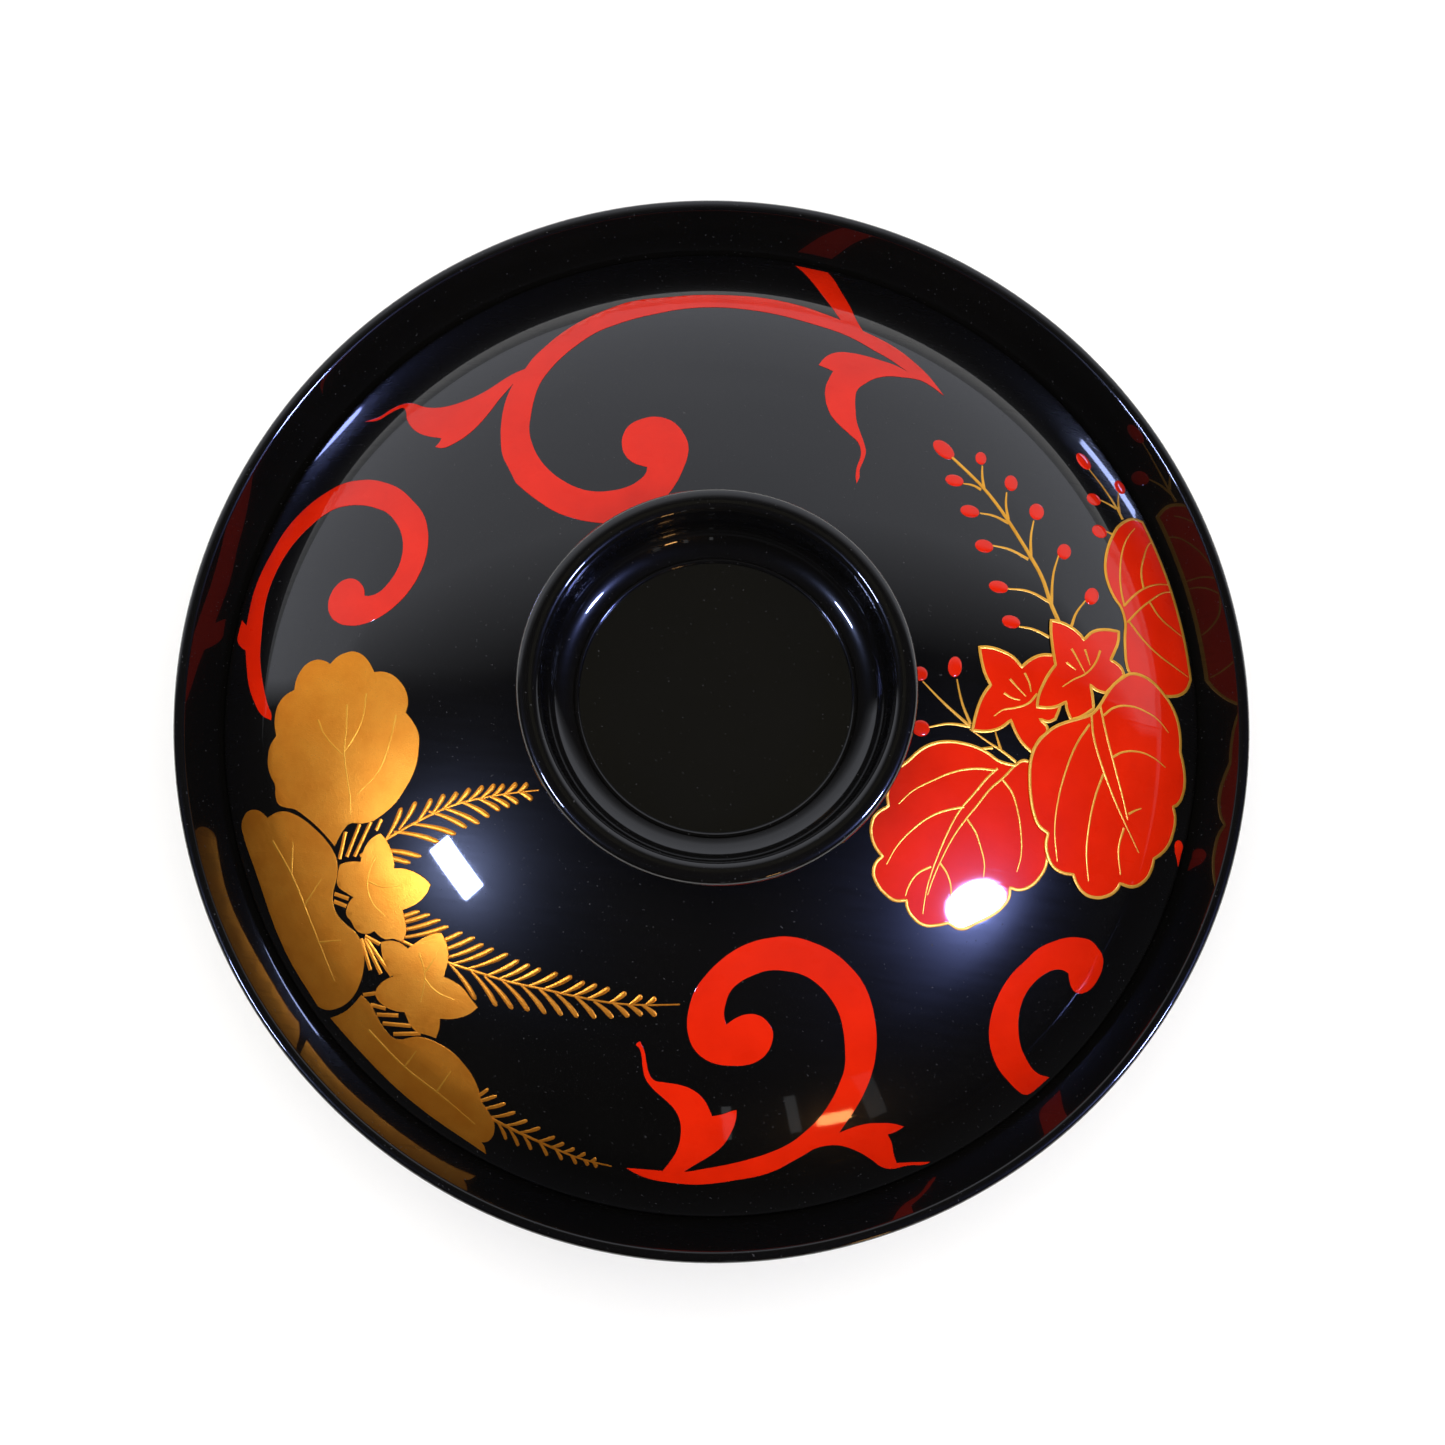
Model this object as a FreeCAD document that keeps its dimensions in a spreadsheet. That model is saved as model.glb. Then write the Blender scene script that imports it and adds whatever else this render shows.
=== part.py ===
import FreeCAD, Part
import math
import os
import Sketcher

# Lidded lacquer rice bowl: a turned bowl and a turned lid, each a core sealed in a coat of lacquer.
# Millimetres. Z is the turning axis of both pieces and z = 0 is the plane the foot ring rests on.
# The lid sits just inside the flared rim and lifts straight up.

DIMENSIONS = {
    "coat": 0.4,
    "floor_height": 10.5,
    "floor_curve": 140.0,
    "floor_join": 27.0,
    "belly_curve": 40.0,
    "flare_curve": 16.0,
    "flare_height": 60.0,
    "rim_height": 66.0,
    "rim_inner_radius": 66.64,
    "rim_outer_radius": 68.34,
    "rim_inner_slope": 56.0,
    "rim_outer_slope": 67.0,
    "rim_outer_turn": "=rim_outer_slope + 180",
    "rim_inner_round": 0.5,
    "rim_outer_round": 0.7,
    "wall": 3.4,
    "outer_curve": "=belly_curve + wall",
    "outer_flare_curve": 34.0,
    "foot_top_radius": 30.2,
    "foot_radius": 31.0,
    "foot_inner_radius": 27.6,
    "foot_recess_radius": 26.9,
    "foot_recess_height": 7.0,
    "foot_round": 0.8,
    "foot_blend": 1.6,
    "lid_edge_radius": 62.4,
    "lid_edge_height": 60.0,
    "lid_toe_radius": 61.25,
    "lid_toe_height": 58.9,
    "lid_heel_radius": 60.2,
    "lid_heel_height": 58.6,
    "lid_edge_round": 0.6,
    "dome_curve": 105.0,
    "dome_join": 44.0,
    "shoulder_curve": 50.0,
    "vault_curve": 102.0,
    "vault_join": 43.0,
    "vault_height": 79.4,
    "recess_height": 82.3,
    "recess_radius": 17.3,
    "cove_curve": 4.0,
    "cove_top_radius": 21.0,
    "ring_height": 91.5,
    "ring_inner_radius": 21.2,
    "ring_outer_radius": 24.66,
    "ring_base_radius": 22.3,
    "ring_flare_curve": 19.0,
    "ring_inner_round": 1.0,
    "ring_outer_round": 1.1,
    "ring_blend": 1.2,
    "bead_radius": 16.95,
    "bead_section": 0.35,
}

# which end of a drawn line or arc a constraint speaks of
START = 1
END = 2
CENTRE = 3
ORIGIN = (-1, 1)
GROUND = -1
AXIS = -2
FULL_TURN = 360.0

# where the pieces that tangency settles are first drawn, close to where they end up
BELLY_END_TURN = 80.0
WALL_RUN = (1.4, 8.4)
OUTER_ROUND_TURN = 84.5
OUTER_FLARE_RUN = (2.5, 10.0)
VAULT_SHOULDER_CURVE = 60.0
COVE_TOP_HEIGHT = 86.14

doc = FreeCAD.newDocument("lidded_rice_bowl")


def make_sheet():
    """The driving dimensions, one named cell each."""
    sheet = doc.addObject("Spreadsheet::Sheet", "dims")
    for row, (name, value) in enumerate(DIMENSIONS.items(), start=1):
        sheet.set(f"A{row}", name)
        sheet.set(f"B{row}", str(value))
        sheet.setAlias(f"B{row}", name)
    doc.recompute()
    return sheet


sheet = make_sheet()


def size(name):
    return float(getattr(sheet, name))


def flat(point):
    return FreeCAD.Vector(point[0], point[1], 0)


class Section:
    """A closed half-section drawn in its body's XZ plane as (radius, height), one piece after another."""

    def __init__(self, name):
        self.body = doc.addObject("PartDesign::Body", name)
        self.body.Label = name
        plane = [o for o in self.body.Origin.OriginFeatures if o.Role == "XZ_Plane"][0]
        self.sketch = self.body.newObject("Sketcher::SketchObject", name + "_section")
        self.sketch.AttachmentSupport = [(plane, "")]
        self.sketch.MapMode = "FlatFace"
        self.pieces = []

    def add(self, shape, start, smooth):
        """Draw one piece and join it to the piece before. Returns its index, first end and last end."""
        index = self.sketch.addGeometry(shape, False)
        backwards = (self.sketch.getPoint(index, START) - flat(start)).Length > 0.001
        piece = (index, END, START) if backwards else (index, START, END)
        if self.pieces:
            last = self.pieces[-1]
            kind = "Tangent" if smooth else "Coincident"
            self.fix(kind, last[0], last[2], index, piece[1])
        self.pieces.append(piece)
        return piece

    def line(self, start, end, smooth=False):
        return self.add(Part.LineSegment(flat(start), flat(end)), start, smooth)

    def arc(self, start, end, radius, left, smooth=False):
        """An arc whose centre lies to the left of the way from start to end, or to the right."""
        across = flat(end) - flat(start)
        half = across.Length / 2
        sagitta = radius - math.sqrt(radius * radius - half * half)
        normal = FreeCAD.Vector(-across.y, across.x, 0).normalize()
        middle = (flat(start) + flat(end)) * 0.5 + normal * (-sagitta if left else sagitta)
        return self.add(Part.Arc(flat(start), middle, flat(end)), start, smooth)

    def close(self):
        self.fix("Coincident", self.pieces[-1][0], self.pieces[-1][2], self.pieces[0][0], self.pieces[0][1])

    def fix(self, kind, *where):
        return self.sketch.addConstraint(Sketcher.Constraint(kind, *where))

    def drive(self, kind, name, *where):
        """A sized constraint that follows a named dimension."""
        value = size(name)
        if kind == "Angle":
            value = math.radians(value)
        index = self.sketch.addConstraint(Sketcher.Constraint(kind, *where, value))
        self.sketch.setExpression(f"Constraints[{index}]", "dims." + name)

    def curve(self, piece, name):
        self.drive("Radius", name, piece[0])

    def end_radius(self, piece, name):
        self.drive("DistanceX", name, *ORIGIN, piece[0], piece[2])

    def end_height(self, piece, name):
        self.drive("DistanceY", name, *ORIGIN, piece[0], piece[2])

    def end_at(self, piece, radius, height):
        self.end_radius(piece, radius)
        self.end_height(piece, height)

    def end_of(self, piece):
        return self.sketch.getPoint(piece[0], piece[2])

    def turn(self):
        """Revolve the section about Z."""
        feature = self.body.newObject("PartDesign::Revolution", self.body.Name + "_turned")
        feature.Profile = self.sketch
        feature.ReferenceAxis = (self.sketch, ["V_Axis"])
        feature.Angle = FULL_TURN
        doc.recompute()

    def round_corners(self, name, *pieces):
        """Fillet the circles swept by the far ends of the given pieces."""
        base = self.body.Tip
        names = []
        for corner in [self.end_of(piece) for piece in pieces]:
            for number, edge in enumerate(base.Shape.Edges, start=1):
                box = edge.BoundBox
                if box.ZLength < 0.001 and abs(box.XMax - corner.x) + abs(box.ZMax - corner.y) < 0.01:
                    names.append(f"Edge{number}")
        fillet = self.body.newObject("PartDesign::Fillet", name)
        fillet.Base = (base, names)
        fillet.setExpression("Radius", "dims." + name)
        doc.recompute()


def on_curve(centre, radius, angle):
    """The point of a circle that lies at an angle from straight down, in degrees."""
    turn = math.radians(angle)
    return (centre[0] + radius * math.sin(turn), centre[1] - radius * math.cos(turn))


def bowl_form():
    """The whole bowl with its lacquer on: round belly, flared rim and foot ring."""
    floor_centre = (0.0, size("floor_height") + size("floor_curve"))
    join = math.degrees(math.asin(size("floor_join") / size("floor_curve")))
    belly_centre = on_curve(floor_centre, size("floor_curve") - size("belly_curve"), join)
    slope = math.radians(size("rim_inner_slope"))
    flare_width = (size("rim_height") - size("flare_height")) / math.tan(slope)

    floor_start = (0.0, size("floor_height"))
    floor_end = on_curve(floor_centre, size("floor_curve"), join)
    belly_end = on_curve(belly_centre, size("belly_curve"), BELLY_END_TURN)
    wall_end = (belly_end[0] + WALL_RUN[0], belly_end[1] + WALL_RUN[1])
    flare_end = (size("rim_inner_radius") - flare_width, size("flare_height"))
    lip_inner = (size("rim_inner_radius"), size("rim_height"))
    lip_outer = (size("rim_outer_radius"), size("rim_height"))
    outer_round_start = on_curve(belly_centre, size("outer_curve"), OUTER_ROUND_TURN)
    outer_flare_start = (outer_round_start[0] + OUTER_FLARE_RUN[0], outer_round_start[1] + OUTER_FLARE_RUN[1])
    foot_turn = math.asin((size("foot_top_radius") - belly_centre[0]) / size("outer_curve"))
    foot_top = on_curve(belly_centre, size("outer_curve"), math.degrees(foot_turn))
    foot_outer = (size("foot_radius"), 0.0)
    foot_inner = (size("foot_inner_radius"), 0.0)
    recess_edge = (size("foot_recess_radius"), size("foot_recess_height"))
    recess_centre = (0.0, size("foot_recess_height"))

    form = Section("bowl_form")
    floor = form.arc(floor_start, floor_end, size("floor_curve"), True)
    belly = form.arc(floor_end, belly_end, size("belly_curve"), True, smooth=True)
    wall = form.line(belly_end, wall_end, smooth=True)
    flare = form.arc(wall_end, flare_end, size("flare_curve"), False, smooth=True)
    rim_inner = form.line(flare_end, lip_inner, smooth=True)
    rim_top = form.line(lip_inner, lip_outer)
    rim_outer = form.line(lip_outer, outer_flare_start)
    outer_flare = form.arc(outer_flare_start, outer_round_start, size("outer_flare_curve"), True, smooth=True)
    outer_round = form.arc(outer_round_start, foot_top, size("outer_curve"), False, smooth=True)
    foot_wall = form.line(foot_top, foot_outer)
    foot_base = form.line(foot_outer, foot_inner)
    recess_wall = form.line(foot_inner, recess_edge)
    recess = form.line(recess_edge, recess_centre)
    axis = form.line(recess_centre, floor_start)
    form.close()

    form.fix("PointOnObject", floor[0], CENTRE, AXIS)
    form.fix("PointOnObject", axis[0], axis[2], AXIS)
    form.end_height(axis, "floor_height")
    form.curve(floor, "floor_curve")
    form.end_radius(floor, "floor_join")
    form.curve(belly, "belly_curve")
    form.curve(flare, "flare_curve")
    form.end_height(flare, "flare_height")
    form.end_at(rim_inner, "rim_inner_radius", "rim_height")
    form.drive("Angle", "rim_inner_slope", rim_inner[0])
    form.end_at(rim_top, "rim_outer_radius", "rim_height")
    form.drive("Angle", "rim_outer_turn", rim_outer[0])
    form.curve(outer_flare, "outer_flare_curve")
    form.fix("Coincident", outer_round[0], CENTRE, belly[0], CENTRE)
    form.curve(outer_round, "outer_curve")
    form.end_radius(outer_round, "foot_top_radius")
    form.end_radius(foot_wall, "foot_radius")
    form.fix("PointOnObject", foot_wall[0], foot_wall[2], GROUND)
    form.end_radius(foot_base, "foot_inner_radius")
    form.fix("PointOnObject", foot_base[0], foot_base[2], GROUND)
    form.end_at(recess_wall, "foot_recess_radius", "foot_recess_height")
    form.fix("Horizontal", recess[0])
    form.fix("PointOnObject", recess[0], recess[2], AXIS)
    form.turn()
    form.round_corners("rim_inner_round", rim_inner)
    form.round_corners("rim_outer_round", rim_top)
    form.round_corners("foot_round", foot_wall, foot_base)
    form.round_corners("foot_blend", outer_round, recess_wall)
    return form


def lid_form():
    """The whole lid with its lacquer on: low dome, thin edge and a flared grip ring round a recess."""
    join = math.asin(size("dome_join") / size("dome_curve"))
    centre_gap = size("dome_curve") - size("shoulder_curve")
    reach = (size("lid_edge_radius") - centre_gap * math.sin(join)) / size("shoulder_curve")
    drop = centre_gap * math.cos(join) + size("shoulder_curve") * math.cos(math.asin(reach))
    dome_centre = (0.0, size("lid_edge_height") - drop)
    base_turn = math.asin(size("ring_base_radius") / size("dome_curve"))
    vault_fall = size("vault_curve") - math.sqrt(size("vault_curve") ** 2 - size("vault_join") ** 2)

    recess_centre = (0.0, size("recess_height"))
    recess_edge = (size("recess_radius"), size("recess_height"))
    cove_top = (size("cove_top_radius"), COVE_TOP_HEIGHT)
    lip_inner = (size("ring_inner_radius"), size("ring_height"))
    lip_outer = (size("ring_outer_radius"), size("ring_height"))
    ring_base = on_curve(dome_centre, size("dome_curve"), 180.0 - math.degrees(base_turn))
    dome_end = on_curve(dome_centre, size("dome_curve"), 180.0 - math.degrees(join))
    lid_edge = (size("lid_edge_radius"), size("lid_edge_height"))
    toe = (size("lid_toe_radius"), size("lid_toe_height"))
    heel = (size("lid_heel_radius"), size("lid_heel_height"))
    vault_end = (size("vault_join"), size("vault_height") - vault_fall)
    vault_top = (0.0, size("vault_height"))

    form = Section("lid_form")
    recess = form.line(recess_centre, recess_edge)
    cove = form.arc(recess_edge, cove_top, size("cove_curve"), True)
    ring_bore = form.line(cove_top, lip_inner, smooth=True)
    ring_top = form.line(lip_inner, lip_outer)
    ring_wall = form.arc(lip_outer, ring_base, size("ring_flare_curve"), True)
    dome = form.arc(ring_base, dome_end, size("dome_curve"), False)
    shoulder = form.arc(dome_end, lid_edge, size("shoulder_curve"), False, smooth=True)
    edge = form.line(lid_edge, toe)
    underside = form.line(toe, heel)
    vault_shoulder = form.arc(heel, vault_end, VAULT_SHOULDER_CURVE, True)
    vault = form.arc(vault_end, vault_top, size("vault_curve"), True, smooth=True)
    axis = form.line(vault_top, recess_centre)
    form.close()

    form.fix("PointOnObject", axis[0], axis[2], AXIS)
    form.end_height(axis, "recess_height")
    form.end_at(recess, "recess_radius", "recess_height")
    form.curve(cove, "cove_curve")
    form.end_radius(cove, "cove_top_radius")
    form.end_at(ring_bore, "ring_inner_radius", "ring_height")
    form.end_at(ring_top, "ring_outer_radius", "ring_height")
    form.curve(ring_wall, "ring_flare_curve")
    form.end_radius(ring_wall, "ring_base_radius")
    form.fix("PointOnObject", dome[0], CENTRE, AXIS)
    form.curve(dome, "dome_curve")
    form.end_radius(dome, "dome_join")
    form.curve(shoulder, "shoulder_curve")
    form.end_at(shoulder, "lid_edge_radius", "lid_edge_height")
    form.end_at(edge, "lid_toe_radius", "lid_toe_height")
    form.end_at(underside, "lid_heel_radius", "lid_heel_height")
    form.end_radius(vault_shoulder, "vault_join")
    form.fix("PointOnObject", vault[0], CENTRE, AXIS)
    form.fix("PointOnObject", vault[0], vault[2], AXIS)
    form.curve(vault, "vault_curve")
    form.end_height(vault, "vault_height")
    form.turn()
    form.round_corners("ring_inner_round", ring_bore)
    form.round_corners("ring_outer_round", ring_top)
    form.round_corners("ring_blend", ring_wall)
    form.round_corners("lid_edge_round", shoulder)
    return form


def core_of(form, name):
    """The turned wood under the lacquer: the whole form less one coat all over."""
    core = doc.addObject("Part::Offset", name)
    core.Label = name
    core.Source = form.body
    core.Mode = 0
    core.Join = 0
    core.setExpression("Value", "-dims.coat")
    doc.recompute()
    return core


def coat_of(form, core, name, bead=None):
    """The lacquer: the form with its core taken out, and any raised bead added."""
    coat = doc.addObject("Part::Cut", name if bead is None else name + "_plain")
    coat.Base = form.body
    coat.Tool = core
    if bead is not None:
        plain = coat
        coat = doc.addObject("Part::Fuse", name)
        coat.Base = plain
        coat.Tool = bead
    coat.Label = name
    doc.recompute()
    return coat


def ring_bead():
    """The fine raised line of lacquer round the recess floor."""
    bead = doc.addObject("Part::Torus", "ring_bead")
    bead.setExpression("Radius1", "dims.bead_radius")
    bead.setExpression("Radius2", "dims.bead_section")
    bead.setExpression("Placement.Base.z", "dims.recess_height")
    doc.recompute()
    return bead


def export(nodes):
    """Check every object, then write one STEP file for each piece."""
    faults = [o.Label for o in doc.Objects if set(o.State) & {"Invalid", "Error"}]
    if faults:
        raise RuntimeError("not computed: " + ", ".join(faults))
    os.makedirs("parts", exist_ok=True)
    for node in nodes:
        if node.Shape.isNull() or not node.Shape.isValid():
            raise RuntimeError(node.Label + " has no valid shape")
        node.Shape.exportStep("parts/" + node.Label + ".step")


bowl = bowl_form()
lid = lid_form()
bowl_core = core_of(bowl, "bowl_core")
lid_core = core_of(lid, "lid_core")
bowl_lacquer = coat_of(bowl, bowl_core, "bowl_lacquer")
lid_lacquer = coat_of(lid, lid_core, "lid_lacquer", ring_bead())
export([bowl_core, bowl_lacquer, lid_core, lid_lacquer])
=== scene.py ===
"""A lidded lacquer rice bowl: black coats, with vermilion and gold arabesque laid on the lid."""

import math
from itertools import chain

import bmesh
import bpy
from mathutils import Matrix, Vector


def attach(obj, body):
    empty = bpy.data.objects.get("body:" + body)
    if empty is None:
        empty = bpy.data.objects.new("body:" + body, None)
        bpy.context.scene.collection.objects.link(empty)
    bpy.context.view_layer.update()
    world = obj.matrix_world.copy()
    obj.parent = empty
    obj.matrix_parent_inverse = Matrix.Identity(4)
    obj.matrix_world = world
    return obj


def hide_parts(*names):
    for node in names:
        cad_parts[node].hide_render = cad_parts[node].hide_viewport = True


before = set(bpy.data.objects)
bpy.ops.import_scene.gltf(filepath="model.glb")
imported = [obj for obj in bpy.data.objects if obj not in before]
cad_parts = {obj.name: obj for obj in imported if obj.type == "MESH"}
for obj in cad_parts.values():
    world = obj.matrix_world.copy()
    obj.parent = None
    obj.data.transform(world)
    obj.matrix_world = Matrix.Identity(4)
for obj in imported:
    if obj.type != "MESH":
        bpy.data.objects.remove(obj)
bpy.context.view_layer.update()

MM = 0.001
FULL_TURN = 2 * math.pi

# Faces round a whole turn and across a rounded corner, and how near two corners join up.
LATHE_STEPS = 288
ROUNDING_STEPS = 6
WELD = 1e-4

# Heights in millimetres above the table.
RIM_HEIGHT = 66.0
RING_FLOOR = 82.3
RING_TOP = 91.5


# ---------------------------------------------------------------- turned shapes, in millimetres

def short_way(angle):
    """The same turn taken the shorter way round."""
    return (angle + math.pi) % FULL_TURN - math.pi


def arc(start, end, centre, steps):
    """Points along the arc about centre, from just after start to end."""
    radius = math.dist(start, centre)
    first = math.atan2(start[1] - centre[1], start[0] - centre[0])
    last = math.atan2(end[1] - centre[1], end[0] - centre[0])
    turn = short_way(last - first)
    angles = [first + turn * k / steps for k in range(1, steps + 1)]
    return [(centre[0] + radius * math.cos(a), centre[1] + radius * math.sin(a)) for a in angles]


def heading(a, b):
    """The direction from one point to another."""
    return math.atan2(b[1] - a[1], b[0] - a[0])


def turned(profile, roundings):
    """Spins a profile of (radius, height) round the upright axis and rounds its named corners."""
    bm = bmesh.new()
    dots = [bm.verts.new((r, 0.0, z)) for r, z in profile]
    lines = [bm.edges.new(pair) for pair in zip(dots, dots[1:])]
    bmesh.ops.spin(bm, geom=dots + lines, cent=(0, 0, 0), axis=(0, 0, 1), dvec=(0, 0, 0),
                   angle=FULL_TURN, steps=LATHE_STEPS, use_merge=True, use_duplicate=False)
    bmesh.ops.remove_doubles(bm, verts=bm.verts[:], dist=WELD)
    bmesh.ops.recalc_face_normals(bm, faces=bm.faces[:])
    for (r, z), radius in roundings.items():
        at = min(range(len(profile)), key=lambda k: math.dist(profile[k], (r, z)))
        before = heading(profile[at - 1], profile[at])
        after = heading(profile[at], profile[at + 1])
        turn = abs(short_way(after - before))
        ring = [e for e in bm.edges if all(on_ring(v.co, r, z) for v in e.verts)]
        bmesh.ops.bevel(bm, geom=ring, offset=radius * math.tan(turn / 2), offset_type="OFFSET",
                        segments=ROUNDING_STEPS, profile=0.5, affect="EDGES", material=-1,
                        clamp_overlap=False)
    return bm


def on_ring(co, r, z):
    """Whether a corner of the mesh lies on the ring of radius r at height z."""
    slack = 0.02
    return abs(math.hypot(co.x, co.y) - r) < slack and abs(co.z - z) < slack


def bowl_form():
    """Inside from the centre up to the rim, then down the outside and round the foot."""
    belly = (19.286, 52.377)
    profile = [(0.0, 10.5)]
    profile += arc((0.0, 10.5), (27.0, 13.128), (0.0, 150.5), steps=12)
    profile += arc((27.0, 13.128), (58.725, 45.704), belly, steps=26)
    profile += [(59.4, 49.7), (60.082, 53.722)]
    profile += arc((60.082, 53.722), (62.593, 60.0), (75.86, 51.05), steps=6)
    profile += [(64.6, 62.975), (66.64, RIM_HEIGHT), (68.34, RIM_HEIGHT), (66.7, 62.136), (65.028, 58.197)]
    profile += arc((65.028, 58.197), (62.483, 48.191), (96.325, 44.91), steps=8)
    profile += arc((62.483, 48.191), (30.2, 10.372), belly, steps=26)
    profile += [(31.0, 0.0), (27.6, 0.0), (26.9, 7.0), (12.0, 7.0), (0.0, 7.0)]
    roundings = {(66.64, RIM_HEIGHT): 0.5, (68.34, RIM_HEIGHT): 0.7, (30.2, 10.372): 1.6,
                 (31.0, 0.0): 0.8, (27.6, 0.0): 0.8, (26.9, 7.0): 1.6}
    return turned(profile, roundings)


# The dome is two arcs: a wide crown, and from SHOULDER_START outward a tighter shoulder.
CROWN_CENTRE = -20.783
CROWN_RADIUS = 105.0
SHOULDER_START = 44.0
SHOULDER_CENTRE = (23.048, 29.155)
SHOULDER_RADIUS = 50.0


def lid_form():
    """Ring floor, its bead, the cove and lip of the ring, the dome, the edge and the hollow."""
    crown, vault = (0.0, CROWN_CENTRE), (0.0, -22.6)
    shoulder = (SHOULDER_START, 74.554)
    profile = [(0.0, RING_FLOOR), (8.0, RING_FLOOR), (16.6, RING_FLOOR)]
    profile += arc((16.6, RING_FLOOR), (17.3, RING_FLOOR), (16.95, RING_FLOOR), steps=8)
    profile += arc((17.3, RING_FLOOR), (21.0, 86.142), (17.003, 86.289), steps=12)
    profile += [(21.1, 88.82), (21.2, RING_TOP), (24.66, RING_TOP)]
    profile += arc((24.66, RING_TOP), (22.3, 81.822), (41.29, 82.317), steps=5)
    profile += arc((22.3, 81.822), shoulder, crown, steps=20)
    profile += arc(shoulder, (62.4, 60.0), SHOULDER_CENTRE, steps=22)
    profile += [(61.25, 58.9), (60.2, 58.6)]
    profile += arc((60.2, 58.6), (43.0, 69.893), (13.153, 5.692), steps=14)
    profile += arc((43.0, 69.893), (0.0, 79.4), vault, steps=24)
    roundings = {(21.2, RING_TOP): 1.0, (24.66, RING_TOP): 1.1, (22.3, 81.822): 1.2, (62.4, 60.0): 0.6}
    return turned(profile, roundings)


def dome(r):
    """Height of the lid's outer surface at a radius."""
    if r < SHOULDER_START:
        return CROWN_CENTRE + math.sqrt(CROWN_RADIUS ** 2 - r * r)
    out = min(r - SHOULDER_CENTRE[0], SHOULDER_RADIUS)
    return SHOULDER_CENTRE[1] + math.sqrt(SHOULDER_RADIUS ** 2 - out * out)


def piece(name, bm, body, finish, crease):
    """Makes the finished object: in metres, smooth but for its creases, riding on its body."""
    bmesh.ops.scale(bm, vec=(MM, MM, MM), verts=bm.verts[:])
    mesh = bpy.data.meshes.new(name)
    bm.to_mesh(mesh)
    bm.free()
    mesh.polygons.foreach_set("use_smooth", [True] * len(mesh.polygons))
    mesh.set_sharp_from_angle(angle=math.radians(crease))
    mesh.materials.append(finish)
    made = bpy.data.objects.new(name, mesh)
    bpy.context.scene.collection.objects.link(made)
    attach(made, body)
    return made


# ---------------------------------------------------------------- lacquer laid on the dome

# How far a film reaches below the dome, and the size of the cells it is cut into.
BURIED = 0.05
CELL = 1.8


def meshed(shape, bm):
    """Adds a curve's mesh to bm, flat as it was drawn."""
    holder = bpy.data.objects.new("drawing", shape)
    bpy.context.scene.collection.objects.link(holder)
    bpy.context.view_layer.update()
    shaped = holder.evaluated_get(bpy.context.evaluated_depsgraph_get())
    flat = bpy.data.meshes.new_from_object(shaped)
    bm.from_mesh(flat)
    bpy.data.objects.remove(holder)
    bpy.data.meshes.remove(flat)
    bpy.data.curves.remove(shape)


def cut_small(bm):
    """Cuts a flat film into cells small enough to follow the dome."""
    for axis in (Vector((1, 0, 0)), Vector((0, 1, 0))):
        reach = [v.co.dot(axis) for v in bm.verts]
        for k in range(math.ceil(min(reach) / CELL), math.floor(max(reach) / CELL) + 1):
            bmesh.ops.bisect_plane(bm, geom=bm.verts[:] + bm.edges[:] + bm.faces[:], dist=WELD,
                                   plane_co=axis * (k * CELL), plane_no=axis)


def drape(bm, lift, flatness=1.0):
    """Lays flat work on the dome, lift above it; a flatness below 1 thins it."""
    for v in bm.verts:
        v.co.z = dome(math.hypot(v.co.x, v.co.y)) + lift + v.co.z * flatness


def film(bm, outline, top):
    """A film of lacquer inside one outline, its face the given height above the dome."""
    soft_edge = 0.03
    shape = bpy.data.curves.new("outline", "CURVE")
    shape.dimensions = "2D"
    shape.fill_mode = "BOTH"
    shape.resolution_u = 4
    shape.bevel_depth = soft_edge
    shape.bevel_resolution = 1
    shape.offset = -soft_edge
    shape.extrude = (top + BURIED) / 2 - soft_edge
    line = shape.splines.new("BEZIER")
    line.bezier_points.add(len(outline) - 1)
    line.use_cyclic_u = True
    for point, (x, y, *corner) in zip(line.bezier_points, outline):
        point.handle_left_type = point.handle_right_type = "VECTOR" if corner else "AUTO"
        point.co = (x, y, 0)
    sheet = bmesh.new()
    meshed(shape, sheet)
    bmesh.ops.remove_doubles(sheet, verts=sheet.verts[:], dist=WELD)
    cut_small(sheet)
    drape(sheet, lift=(top - BURIED) / 2)
    add(bm, sheet)


def add(bm, part):
    """Moves part's mesh into bm."""
    passing = bpy.data.meshes.new("passing")
    part.to_mesh(passing)
    part.free()
    bm.from_mesh(passing)
    bpy.data.meshes.remove(passing)


def thread(bm, strokes, height, closed=False):
    """Raised, flattened lines: each stroke is a list of (x, y, half width, corner mark)."""
    shape = bpy.data.curves.new("line", "CURVE")
    shape.dimensions = "3D"
    shape.resolution_u = 5
    shape.bevel_depth = 1.0
    shape.bevel_resolution = 1
    shape.use_fill_caps = True
    shape.twist_mode = "Z_UP"
    for stroke in strokes:
        line = shape.splines.new("BEZIER")
        line.bezier_points.add(len(stroke) - 1)
        line.use_cyclic_u = closed
        for point, (x, y, half, corner) in zip(line.bezier_points, stroke):
            point.handle_left_type = point.handle_right_type = "VECTOR" if corner else "AUTO"
            point.co = (x, y, 0)
            point.radius = half
    lines = bmesh.new()
    meshed(shape, lines)
    drape(lines, height, flatness=0.28)
    add(bm, lines)


def edging(bm, outline, half, height):
    """A raised line all round an outline."""
    thread(bm, [[(x, y, half, bool(corner)) for x, y, *corner in outline]], height, closed=True)


def drawn(points, half, start=1.0, end=0.45):
    """A brush line that thins from start to end."""
    last = len(points) - 1
    return [(x, y, half * (start + (end - start) * k / last), False) for k, (x, y) in enumerate(points)]


# ---------------------------------------------------------------- the pattern on the lid
# Points are millimetres from the lid's centre; a third number marks a sharp corner.

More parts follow.
